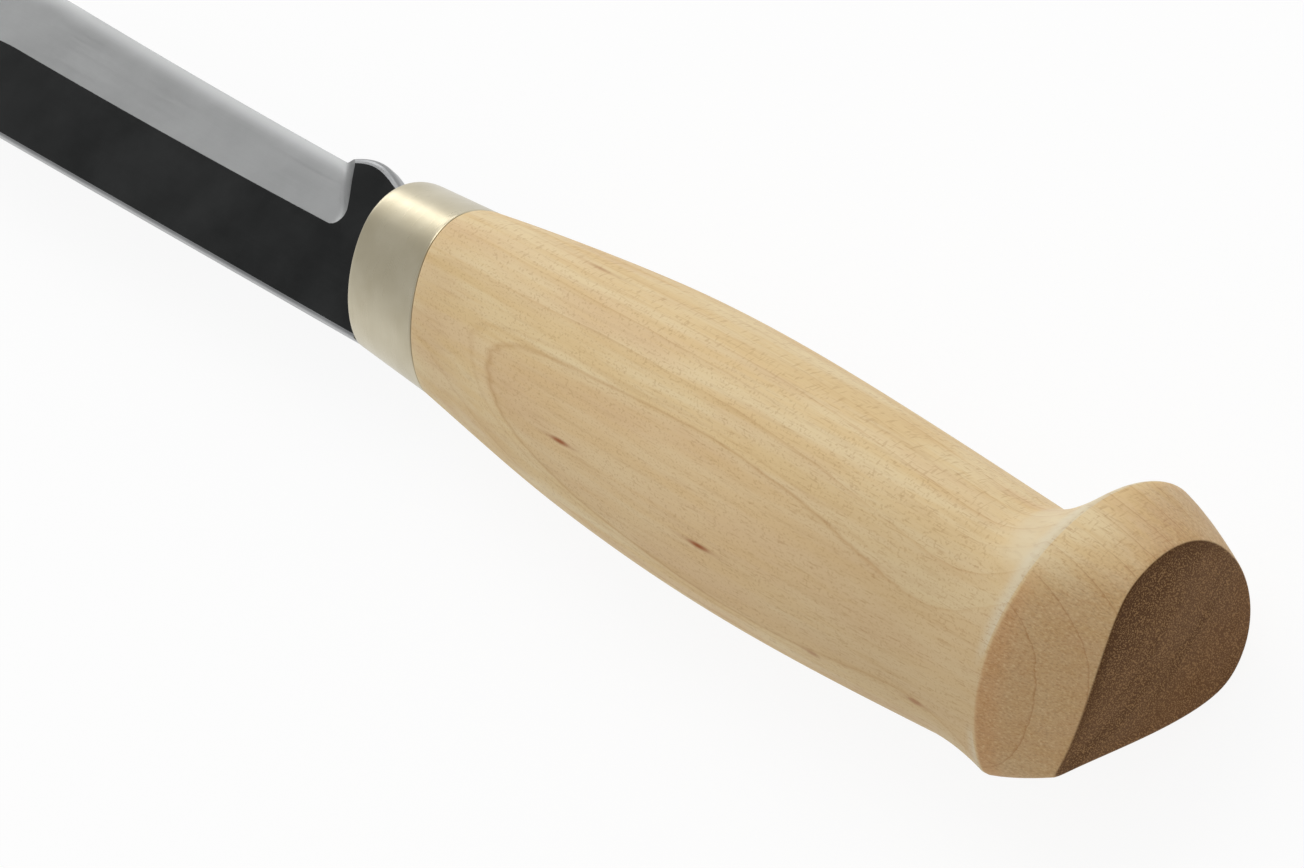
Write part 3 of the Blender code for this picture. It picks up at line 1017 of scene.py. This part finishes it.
@dataclass
class Ferrule:
    """The drawn metal cap over the front of the handle."""

    knife: KnifeFrame
    length: float = 0.0114
    wall: float = 0.0007
    front_wall: float = 0.0012
    front_round: float = 0.00035
    front_inset: float = 0.0003
    rear_round: float = 0.00012
    rear_slant: float = -0.085
    slot_gap: float = 0.0003
    front: Section = Section(0.00895, 0.00935, 0.00925, 0.0018, 2.3, 1.6, 1.6)
    rear: Section = Section(0.0093, 0.0103, 0.0102, 0.0018, 2.3, 1.6, 1.6)
    # Numbers of rings along the wall, and of faces across its roundings
    wall_rings: int = 6
    front_segments: int = 6
    rear_segments: int = 2
    shading_degrees: float = 35.0

    def ring(self, depth: float, inset: float = 0.0) -> Points:
        """Places a ring of the ferrule, whose rear rim is cut at a slant.

        Args:
            depth: Depth behind its front.
            inset: How far the ring lies inside its outer surface.

        Returns:
            The ring.
        """
        share = depth / self.length
        section = self.front.mixed(self.rear, share).inset(inset)
        return section.ring(self.knife, depth, self.rear_slant * share)

    def build(self, slot: Object) -> Object:
        """Draws the cap: down the outside, round the rear rim and up the inside, slotted for the tang.

        Its front keeps its flat shading inside a narrow inset rim.

        Args:
            slot: The tool that cuts the tang's slot.

        Returns:
            The ferrule.
        """
        wall = steps(2.0 * self.front_round, self.length - 3.0 * self.rear_round, self.wall_rings)
        outside = [self.ring(depth) for depth in (0.0, *wall, self.length)]
        inside = [self.ring(depth, self.wall) for depth in (self.length, self.front_wall)]
        piece = loft("ferrule_cap", [*outside, *inside])
        round_edges(piece, on_ring(outside[0]), self.front_round, self.front_segments)
        round_edges(piece, on_ring(outside[-1]), self.rear_round, self.rear_segments)
        with editing(piece, Picking.FACES) as mesh:
            caps = [face for face in mesh.faces if len(face.verts) == RING_POINTS]
            for face in caps:
                face.select_set(face.normal.x > SQUARE)
            bpy.ops.mesh.inset(thickness=self.front_inset)
        combine(piece, slot, Joining.CUT)
        return piece

    def dress(self, piece: Object) -> None:
        """Finishes the ferrule in nickel silver."""
        finish_all_over(piece, NICKEL_SILVER.material(self.knife))
        smooth(piece, self.shading_degrees)


@dataclass
class Handle:
    """The one-piece birch handle: tenon, grip, neck, flared lip, band and butt."""

    knife: KnifeFrame
    ferrule: Ferrule
    length: float = 0.110
    seat: float = 0.00004
    tenon_gap: float = 0.0003
    fore_swell_run: float = 0.0246
    rear_swell_run: float = 0.0266
    flare_length: float = 0.0083
    band_length: float = 0.0091
    band_crown: float = 0.0002
    lip_slant: float = 0.028
    butt_slant: float = 0.0948
    butt_arch: float = 0.00168
    butt_crown: float = 0.00032
    shoulder_round: float = 0.00018
    lip_round: float = 0.00045
    butt_round: float = 0.0003
    tip_round: float = 0.0005
    tip_round_reach: float = 0.0059
    mortise_height: float = 0.0138
    mortise_width: float = 0.0060
    mortise_depth: float = 0.0639
    mortise_round: float = 0.0026
    drill_margin: float = 0.001
    fore_swell: Section = Section(0.0118, 0.0134, 0.0106)
    rear_swell: Section = Section(0.01145, 0.01485, 0.0111)
    neck: Section = Section(0.0097, 0.0140, 0.0101)
    lip: Section = Section(0.0167, 0.01515, 0.01138, 0.0028, 1.88, 1.33, 2.0, wear=3)
    butt: Section = Section(0.01352, 0.01293, 0.00962, 0.0043, 2.08, 0.71, 1.43, wear=8)
    # Numbers of rings along each stretch, and of faces across the mortise's rounding
    grip_rings_count: int = 62
    shoulder_rings: int = 4
    flare_rings: int = 16
    lip_rings: int = 7
    band_rings: int = 8
    rim_rings: int = 8
    face_rings: int = 9
    mortise_segments: int = 6
    # How far inwards the rings on the butt's face start and end
    face_shares: Pair = (0.05, 0.96)
    shading_degrees: float = 32.0

    @property
    def lip_depth(self) -> float:
        """Depth of the lip."""
        return self.length - self.band_length

    @property
    def neck_depth(self) -> float:
        """Depth of the neck."""
        return self.lip_depth - self.flare_length

    @property
    def butt_middle(self) -> float:
        """Reach of the middle of the butt's face."""
        return (self.butt.edge_reach - self.butt.spine_reach) / 2.0

    def towards_swell(self, depth: float) -> float:
        """Says how far a depth is from the ferrule to the fore swell, eased in and out."""
        return ease(min((depth - self.ferrule.length) / self.fore_swell_run, 1.0))

    def grip_ring(self, depth: float, inset: float = 0.0) -> Points:
        """Places one ring of the grip, on smooth curves through its sections.

        It leans like the ferrule's rim at first, and stands square from the fore swell on.

        Args:
            depth: Depth behind the ferrule's front.
            inset: How much is taken off all round.

        Returns:
            The ring.
        """
        swell_depth = self.ferrule.length + self.fore_swell_run
        places = (self.ferrule.length, swell_depth, self.neck_depth - self.rear_swell_run, self.neck_depth)
        named = (self.ferrule.rear, self.fore_swell, self.rear_swell, self.neck)
        share = self.towards_swell(depth)
        sizes = {
            name: spline(places, [getattr(section, name) for section in named], depth)
            for name in ("edge_reach", "spine_reach", "half_width")
        }
        section = replace(self.ferrule.rear.mixed(self.fore_swell, share), **sizes).inset(inset)
        return section.ring(self.knife, depth, self.ferrule.rear_slant * (1.0 - share))

    def grip_rings(self) -> list[Points]:
        """Places the tenon inside the ferrule, the rounded shoulder and the grip, back to the neck.

        Returns:
            The rings.
        """
        front, shoulder = self.ferrule.front_wall + self.tenon_gap, self.ferrule.length + self.seat
        inside = self.ferrule.wall + self.tenon_gap
        tenon = [self.ferrule.ring(depth, inside) for depth in (front, shoulder)]
        depths = steps(shoulder + self.shoulder_round, self.neck_depth, self.grip_rings_count)
        rings = [self.grip_ring(depth) for depth in depths]
        face, rim = self.grip_ring(shoulder, self.shoulder_round), self.grip_ring(shoulder)
        return [*tenon, *fillet(face, rim, rings[0], self.shoulder_rings), *rings[1:]]

    def flare_point(self, neck: Vector, lip: Vector, share: float) -> Vector:
        """Places a point of the hollow flare: evenly along the knife, and outwards ever faster.

        Args:
            neck: The point on the neck.
            lip: The point on the lip.
            share: How far it is from the neck to the lip.

        Returns:
            The point.
        """
        point = neck.lerp(lip, share * share)
        point.x = neck.x + (lip.x - neck.x) * share
        return point

    def band_point(self, lip: Vector, rim: Vector, share: float) -> Vector:
        """Places a point of the slightly crowned band.

        Args:
            lip: The point on the lip.
            rim: The point on the rim of the butt.
            share: How far it is from the lip to the rim.

        Returns:
            The point.
        """
        crown = 1.0 + 4.0 * share * (1.0 - share) * self.band_crown / self.lip.half_width
        middle = Vector((0.0, self.knife.centre_y, self.knife.centre_z))
        return middle + (lip.lerp(rim, share) - middle) * Vector((1.0, crown, crown))

    def on_butt(self, point: Vector) -> Vector:
        """Moves a point along the knife to the arched face of the butt.

        Args:
            point: The point.

        Returns:
            The point on the face.
        """
        reach = self.knife.centre_y - point.y
        off = (reach - self.butt_middle) / (self.butt.spine_reach + self.butt_middle)
        depth = self.length + self.butt_crown + self.butt_slant * reach - self.butt_arch * off * off
        return Vector((self.knife.front - depth, point.y, point.z))

    def butt_rim(self) -> Points:
        """Places the rim of the butt, as if it were sharp."""
        return [self.on_butt(point) for point in self.butt.ring(self.knife, self.length)]

    def rim_round(self, point: Vector) -> float:
        """Gives the rounding of the butt's rim: slight, and wide at the worn tip of the beak.

        Args:
            point: A point of the rim.

        Returns:
            The width of the rounding there.
        """
        from_tip = self.knife.centre_y + self.butt.spine_reach - point.y
        near = max(1.0 - from_tip / self.tip_round_reach, 0.0)
        return self.butt_round + (self.tip_round - self.butt_round) * ease(near)

    def butt_rings(self, neck: Points) -> list[Points]:
        """Places the flare, the rounded lip, the band, the rounded rim and the face of the butt.

        Args:
            neck: The neck's ring.

        Returns:
            The rings after the neck.
        """
        lip = self.lip.ring(self.knife, self.lip_depth, self.lip_slant)
        rim = self.butt_rim()
        rounds = [self.rim_round(point) for point in rim]
        flare = [
            [self.flare_point(start, end, share) for start, end in zip(neck, lip)]
            for share in steps(0.0, 1.0 - self.lip_round / self.flare_length, self.flare_rings)[1:]
        ]
        band_start = self.lip_round / self.band_length
        shares = [steps(band_start, 1.0 - width / self.band_length, self.band_rings) for width in rounds]
        band = [[self.band_point(*ends) for ends in zip(lip, rim, level)] for level in zip(*shares)]
        middle = self.knife.point(-self.length, self.butt_middle, 0.0)
        inner = [point.lerp(middle, width / (point - middle).length) for point, width in zip(rim, rounds)]
        face = [
            [self.on_butt(point.lerp(middle, share)) for point in inner]
            for share in (0.0, *steps(*self.face_shares, self.face_rings))
        ]
        return [
            *flare[:-1], *fillet(flare[-1], lip, band[0], self.lip_rings),
            *band[1:-1], *fillet(band[-1], rim, face[0], self.rim_rings), *face[1:],
        ]

    def build(self) -> Object:
        """Shapes the handle from the tenon to the butt and drills the mortise.

        Returns:
            The handle.
        """
        grip = self.grip_rings()
        piece = loft("birch_handle", [*grip, *self.butt_rings(grip[-1])])
        combine(piece, self.mortise_tool(), Joining.CUT)
        return piece

    def mortise_tool(self) -> Object:
        """Makes the drill that leaves the mortise: a bar with rounded long edges.

        Returns:
            The tool.
        """
        bpy.ops.object.select_all(action="DESELECT")
        bpy.ops.mesh.primitive_cube_add(
            size=1.0,
            location=self.knife.point((self.drill_margin - self.mortise_depth) / 2.0, 0.0, 0.0),
            scale=(self.mortise_depth + self.drill_margin, self.mortise_height, self.mortise_width),
        )
        tool = bpy.context.active_object
        bpy.ops.object.transform_apply(location=True, rotation=True, scale=True)

        def runs_along(edge: BMEdge) -> bool:
            """Says whether an edge of the bar runs along the knife."""
            return abs((edge.verts[1].co - edge.verts[0].co).x) > self.drill_margin

        round_edges(tool, runs_along, self.mortise_round, self.mortise_segments)
        return tool

    def dress(self, piece: Object) -> None:
        """Finishes the handle in oiled birch, which knows how far it is from the rim of the butt.

        Args:
            piece: The handle.
        """
        rim = nearest(self.butt_rim())
        distances = piece.data.attributes.new(RIM_DISTANCE, "FLOAT", "POINT")
        for vert, value in zip(piece.data.vertices, distances.data):
            value.value = rim.find(vert.co)[2]
        finish_all_over(piece, BirchFinish(self.knife).material())
        smooth(piece, self.shading_degrees)


@dataclass
class Blade:
    """The blade and its tang, one bar of steel: blued flats, ground bevels, rounded spine and heel."""

    knife: KnifeFrame
    length: float = 0.110
    thickness: float = 0.0025
    edge_thickness: float = 0.00012
    seat: float = 0.00005
    spine_reach: float = 0.0092
    point_drop: float = 0.0015
    point_drop_length: float = 0.044
    edge_reach: float = 0.0066
    edge_sag: float = 0.00028
    belly_reach: float = 0.0079
    belly_length: float = 0.040
    belly_power: float = 2.2
    heel_standoff: float = 0.00173
    heel_start: float = 0.0016
    heel_rise: float = 0.0104
    heel_fall: float = 0.0051
    bevel_width: float = 0.00645
    belly_bevel_width: float = 0.00775
    bevel_start: float = 0.01145
    bevel_lean: float = 0.00674
    plunge_radius: float = 0.0049
    plunge_reach: float = 0.0042
    corner_length: float = 0.0015
    corner_width: float = 0.0025
    hone_width: float = 0.0022
    hone_drop: float = 0.00014
    spine_round: float = 0.00035
    heel_round: float = 0.00085
    heel_end_round: float = 0.0002
    tang_length: float = 0.062
    tang_height: float = 0.0100
    tang_end_height: float = 0.0060
    tang_side_relief: float = 0.00015
    tang_shoulder: float = 0.0004
    cut_margin: float = 0.0015
    # Numbers of points along each stretch of the outline and across the bevel, and of rings along the bevel
    rise_points: int = 14
    fall_points: int = 10
    edge_points: int = 12
    belly_points: int = 40
    drop_points: int = 16
    bevel_points: int = 20
    hone_points: int = 5
    plunge_rings: int = 32
    edge_rings: int = 12
    belly_rings: int = 44
    rounding_segments: int = 5
    shading_degrees: float = 7.0

    @property
    def belly_start(self) -> float:
        """Place where the edge starts to curve up to the point."""
        return self.length - self.belly_length

    def edge_at(self, place: float) -> float:
        """Follows the ground edge, worn slightly hollow and then curving up to the point.

        Args:
            place: Place along the knife.

        Returns:
            The edge's reach there.
        """
        slope = (self.belly_reach - self.edge_reach) / self.belly_start
        if place <= self.belly_start:
            share = place / self.belly_start
            return self.edge_reach + slope * place - 4.0 * self.edge_sag * share * (1.0 - share)
        share = (place - self.belly_start) / self.belly_length
        slope += 4.0 * self.edge_sag / self.belly_start
        run_on = self.belly_reach + slope * (place - self.belly_start) * (1.0 - share)
        return run_on + (self.point_drop - self.spine_reach - self.belly_reach) * share**self.belly_power

    def spine_at(self, place: float) -> float:
        """Gives the reach of the spine, a negative number, with its slight drop to the point."""
        share = max(place - self.length + self.point_drop_length, 0.0) / self.point_drop_length
        return self.point_drop * share * share - self.spine_reach

    def outline(self) -> Path:
        """Draws the side view as places and reaches.

        Returns:
            The points from the shoulder along the heel and the edge to the point, and back on the spine.
        """
        shoulder = self.tang_height / 2.0 + self.tang_shoulder
        heel = self.edge_reach + self.heel_standoff
        crest = self.heel_start + self.heel_rise
        foot = self.edge_at(crest + self.heel_fall)
        points = [(self.seat, shoulder)]
        for share in steps(0.0, 1.0, self.rise_points):
            rise = shoulder + (heel - shoulder) * ease(share)
            points.append((self.heel_start + self.heel_rise * share, rise))
        for share in steps(0.0, 1.0, self.fall_points)[1:]:
            points.append((crest + self.heel_fall * share, heel + (foot - heel) * share * share))
        edge = steps(points[-1][0], self.belly_start, self.edge_points)[1:-1]
        edge += steps(self.belly_start, self.length, self.belly_points)
        points += [(place, self.edge_at(place)) for place in edge]
        back = steps(self.length, self.length - self.point_drop_length, self.drop_points)
        points += [(place, self.spine_at(place)) for place in back[1:]]
        return [*points, (self.seat, -self.spine_reach)]

    def bevel_height(self, out: float, width: float, behind: float) -> float:
        """Gives the height of the ground bevel over the middle of the blade.

        It is flat, slightly rounded by honing towards the edge, and curves up at its start, where the wheel
        leaves a round corner.

        Args:
            out: Distance inwards from the edge.
            width: Width of the bevel.
            behind: Distance behind the start of the bevel, negative in front of it.

        Returns:
            The height.
        """
        hone = max(1.0 - max(out, 0.0) / self.hone_width, 0.0)
        slope = (self.thickness / 2.0 - self.edge_thickness / 2.0 - self.hone_drop) / width
        flat = self.edge_thickness / 2.0 + self.hone_drop + slope * out
        corner = clamp((out - width) / self.corner_width + 1.0)
        lift = max(behind + self.corner_length * corner * corner, 0.0) ** 2 / (2.0 * self.plunge_radius)
        return flat - self.hone_drop * hone * hone + lift

    def bevel_ring(self, place: float, side: float, lean: float) -> Points:
        """Draws one cross-section of the steel that is ground off a side.

        Args:
            place: Place along the edge.
            side: 1 for the upper side and -1 for the lower.
            lean: How far forwards the ring leans at the edge.

        Returns:
            The points on the bevel from its inner side to beyond the edge, and two well above it.
        """
        step = self.cut_margin / 10.0
        rise = (self.edge_at(place + step) - self.edge_at(place - step)) / (2.0 * step)
        inwards = Vector((rise, -1.0)).normalized()
        share = clamp(place / self.belly_start)
        width = self.bevel_width + (self.belly_bevel_width - self.bevel_width) * share
        inner, outer = width + self.cut_margin, -2.0 * self.cut_margin
        bevel = steps(width, self.hone_width, self.bevel_points)[:-1]
        outs = [inner, *bevel, *steps(self.hone_width, 0.0, self.hone_points), outer]
        heights = [self.bevel_height(out, width, self.bevel_start - place) for out in outs]
        clear = self.thickness + 3.0 * self.cut_margin
        ring = []
        for out, height in zip([*outs, outer, inner], [*heights, clear, clear]):
            along = place + inwards.x * out + lean * (1.0 - out / width)
            ring.append(self.knife.point(along, self.edge_at(place) + inwards.y * out, side * height))
        return ring

    def grinding_tool(self, side: float, finish: Material) -> Object:
        """Makes the wheel's path on one side: it plunges in on a curve and follows the edge.

        Args:
            side: 1 for the upper side and -1 for the lower.
            finish: The finish that the wheel leaves.

        Returns:
            The tool.
        """
        start, end = self.bevel_start - self.plunge_reach, self.bevel_start + self.corner_length
        path = [(place, 1.0) for place in steps(start, end, self.plunge_rings)]
        for place in steps(end, self.belly_start, self.edge_rings)[1:-1]:
            path.append((place, (self.belly_start - place) / (self.belly_start - end)))
        for place in steps(self.belly_start, self.length + 2.0 * self.cut_margin, self.belly_rings):
            path.append((place, 0.0))
        rings = [self.bevel_ring(place, side, self.bevel_lean * share) for place, share in path]
        tool = loft("grinding_wheel", rings)
        tool.data.materials.append(finish)
        return tool

    def tang_tool(self, gap: float, depth: float) -> Object:
        """Makes the tang's tapered bar, or with a gap the space for it.

        Args:
            gap: Gap all round the bar.
            depth: Depth that it goes back to.

        Returns:
            The bar.
        """
        half_width = self.thickness / 2.0 - self.tang_side_relief + gap
        corners = ((-1, -1), (1, -1), (1, 1), (-1, 1))
        rings = []
        for place in (self.cut_margin, 0.0, -depth):
            taper = (self.tang_end_height - self.tang_height) * clamp(-place / self.tang_length)
            half_height = (self.tang_height + taper) / 2.0 + gap
            rings.append([self.knife.point(place, y * half_height, z * half_width) for y, z in corners])
        return loft("tang_bar", rings)

    def build(self) -> Object:
        """Cuts the blank, rounds its outline, grinds both bevels and welds on the tang.

        Returns:
            The blade, with the blued, rim and bevel finishes on its faces.
        """
        blued, rim, ground = (finish.material(self.knife) for finish in (BLUED, ROUNDED_RIM, GROUND))
        half = self.thickness / 2.0
        outline = self.outline()
        piece = loft("steel_blade", [
            [self.knife.point(place, reach, height) for place, reach in outline] for height in (-half, half)
        ])
        round_to_width(piece, self.rounding, self.rounding_segments)
        piece.data.materials.append(blued)
        piece.data.materials.append(rim)
        for face in piece.data.polygons:
            face.material_index = 0 if abs(face.normal.z) > SQUARE else 1
        for side in (1.0, -1.0):
            combine(piece, self.grinding_tool(side, ground), Joining.CUT)
        tang = self.tang_tool(0.0, self.tang_length)
        tang.data.materials.append(blued)
        combine(piece, tang, Joining.WELD)
        return piece

    def rounding(self, edge: BMEdge) -> float:
        """Says how far a corner of the blank is rounded: all along the spine, and on the crest of the heel.

        Args:
            edge: An edge of the blank.

        Returns:
            The width of the rounding, or 0.
        """
        first, last = (vert.co for vert in edge.verts)
        middle = (first + last) / 2.0
        place, reach = middle.x - self.knife.front, self.knife.centre_y - middle.y
        upright = abs(first.z - last.z) > self.seat
        if upright or not self.seat < place - self.seat < self.length - 2.0 * self.seat:
            return 0.0
        if reach < 0.0:
            return self.spine_round if reach < self.spine_at(place) + 2.0 * self.seat else 0.0
        if place >= self.heel_start + self.heel_rise + self.heel_fall:
            return 0.0
        up = ease(clamp((place - self.heel_start) / self.heel_rise))
        return self.heel_end_round + (self.heel_round - self.heel_end_round) * up

    def dress(self, piece: Object) -> None:
        """Shades the blade so that the lines between flats, bevels and rims stay crisp."""
        smooth(piece, self.shading_degrees)


@dataclass
class Studio:
    """The pale floor, the soft light and the camera."""

    camera_place: Triple = (-0.42979, 0.05682, 0.41249)
    camera_target: Triple = (-0.04123, 0.00352, 0.0114)
    camera_roll_degrees: float = -49.975
    camera_clip: float = 0.01
    lens_mm: float = 158.24
    sensor_mm: float = 36.0
    floor_size: float = 6.0
    floor_white: str = "#FAFAFA"
    floor_roughness: float = 0.9
    floor_lift: float = 0.9
    light_distance: float = 0.9
    key_towards: Triple = (0.33, -0.46, 0.82)
    key_size: Pair = (0.7, 0.5)
    key_watts: float = 2.5
    strip_towards: Triple = (0.82, -0.47, 0.31)
    strip_size: Pair = (0.7, 0.2)
    strip_watts: float = 1.15
    wall_white: str = "#FFFFFF"
    horizon_level: float = 0.88
    ceiling_level: float = 0.58
    ceiling_sine: float = 0.42

    def build(self) -> None:
        """Sets up the floor, the world, the lights, the camera and the view transform."""
        self.build_floor()
        self.build_world()
        self.build_light("key_softbox", self.key_towards, self.key_size, self.key_watts)
        self.build_light("strip_softbox", self.strip_towards, self.strip_size, self.strip_watts)
        self.build_camera()
        bpy.context.scene.view_settings.view_transform = "Standard"

    def build_floor(self) -> None:
        """Lays the pale floor, which shows white and still takes the shadow."""
        bpy.ops.object.select_all(action="DESELECT")
        bpy.ops.mesh.primitive_plane_add(size=self.floor_size)
        floor = bpy.context.active_object
        floor.name = "floor"
        material = new_material("matt_white_board")
        tree = material.node_tree
        board = add_node(tree, Shader.PRINCIPLED, {
            "Base Color": linear(self.floor_white), "Roughness": self.floor_roughness,
        })
        white = add_node(tree, Shader.EMISSION, {"Strength": 1.0})
        paths = add_node(tree, Shader.LIGHT_PATH).node.outputs
        seen = paths["Is Camera Ray"]
        for path in ("Is Glossy Ray", "Is Transmission Ray"):
            seen = add_node(tree, Shader.MAXIMUM, (seen, paths[path]))
        lift = add_node(tree, Shader.MULTIPLY, (seen, self.floor_lift))
        surface = add_node(tree, Shader.BLEND, (lift, board, white))
        add_node(tree, Shader.SURFACE, (surface,))
        floor.data.materials.append(material)

    def build_world(self) -> None:
        """Surrounds the scene with pale walls under a darker ceiling."""
        world = bpy.data.worlds.new("studio_walls")
        bpy.context.scene.world = world
        world.use_nodes = True
        tree = world.node_tree
        tree.nodes.clear()
        towards = add_node(tree, Shader.COORDINATES, output="Generated")
        up = add_node(tree, Shader.SPLIT, (towards,), "Z")
        levels = (self.horizon_level, self.ceiling_level)
        level = add_node(tree, Shader.EASED_RANGE, (up, 0.0, self.ceiling_sine, *levels))
        light = add_node(tree, Shader.BACKGROUND, {"Strength": level, "Color": linear(self.wall_white)})
        add_node(tree, Shader.WORLD, (light,))

    def build_light(self, name: str, direction: Triple, size: Pair, watts: float) -> None:
        """Hangs a softbox that faces the knife.

        Args:
            name: Name of the light.
            direction: Where it hangs, seen from the knife.
            size: Its width and height.
            watts: Its power.
        """
        light = bpy.data.lights.new(name, "AREA")
        light.shape = "RECTANGLE"
        light.size, light.size_y = size
        light.energy = watts
        lamp = bpy.data.objects.new(name, light)
        bpy.context.scene.collection.objects.link(lamp)
        towards = Vector(direction).normalized()
        lamp.location = Vector(self.camera_target) + towards * self.light_distance
        lamp.rotation_euler = (-towards).to_track_quat("-Z", "Y").to_euler()

    def build_camera(self) -> None:
        """Stands the camera over the butt, turned on its side as the photograph was taken."""
        lens = bpy.data.cameras.new("camera")
        lens.lens = self.lens_mm
        lens.sensor_width = self.sensor_mm
        lens.clip_start = self.camera_clip
        camera = bpy.data.objects.new("camera", lens)
        bpy.context.scene.collection.objects.link(camera)
        camera.location = self.camera_place
        ahead = Vector(self.camera_target) - Vector(self.camera_place)
        roll = Quaternion((0.0, 0.0, 1.0), math.radians(self.camera_roll_degrees))
        camera.rotation_euler = (ahead.to_track_quat("-Z", "Y") @ roll).to_euler()
        bpy.context.scene.camera = camera


def hand_over(piece: Object, node: str) -> None:
    """Puts a finished piece in the place of a CAD node.

    Args:
        piece: The piece.
        node: The CAD node that it stands for.
    """
    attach(piece, "root")
    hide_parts(node)
    LOG.info("%s stands for %s: %d faces", piece.name, node, len(piece.data.polygons))


def main() -> None:
    """Builds and dresses the knife and its studio."""
    logging.basicConfig(level=logging.INFO, format="%(name)s: %(message)s")
    knife = KnifeFrame.from_solids()
    blade = Blade(knife)
    ferrule = Ferrule(knife)
    handle = Handle(knife, ferrule)

    steel = blade.build()
    blade.dress(steel)
    hand_over(steel, "blade")

    cap = ferrule.build(blade.tang_tool(ferrule.slot_gap, ferrule.length))
    ferrule.dress(cap)
    hand_over(cap, "ferrule")

    wood = handle.build()
    handle.dress(wood)
    hand_over(wood, "handle")

    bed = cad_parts["tang_adhesive"]
    finish_all_over(bed, EpoxyFinish().material())
    LOG.info("%s keeps its solid, in set epoxy", bed.name)

    Studio().build()


if __name__ == "__main__":
    main()
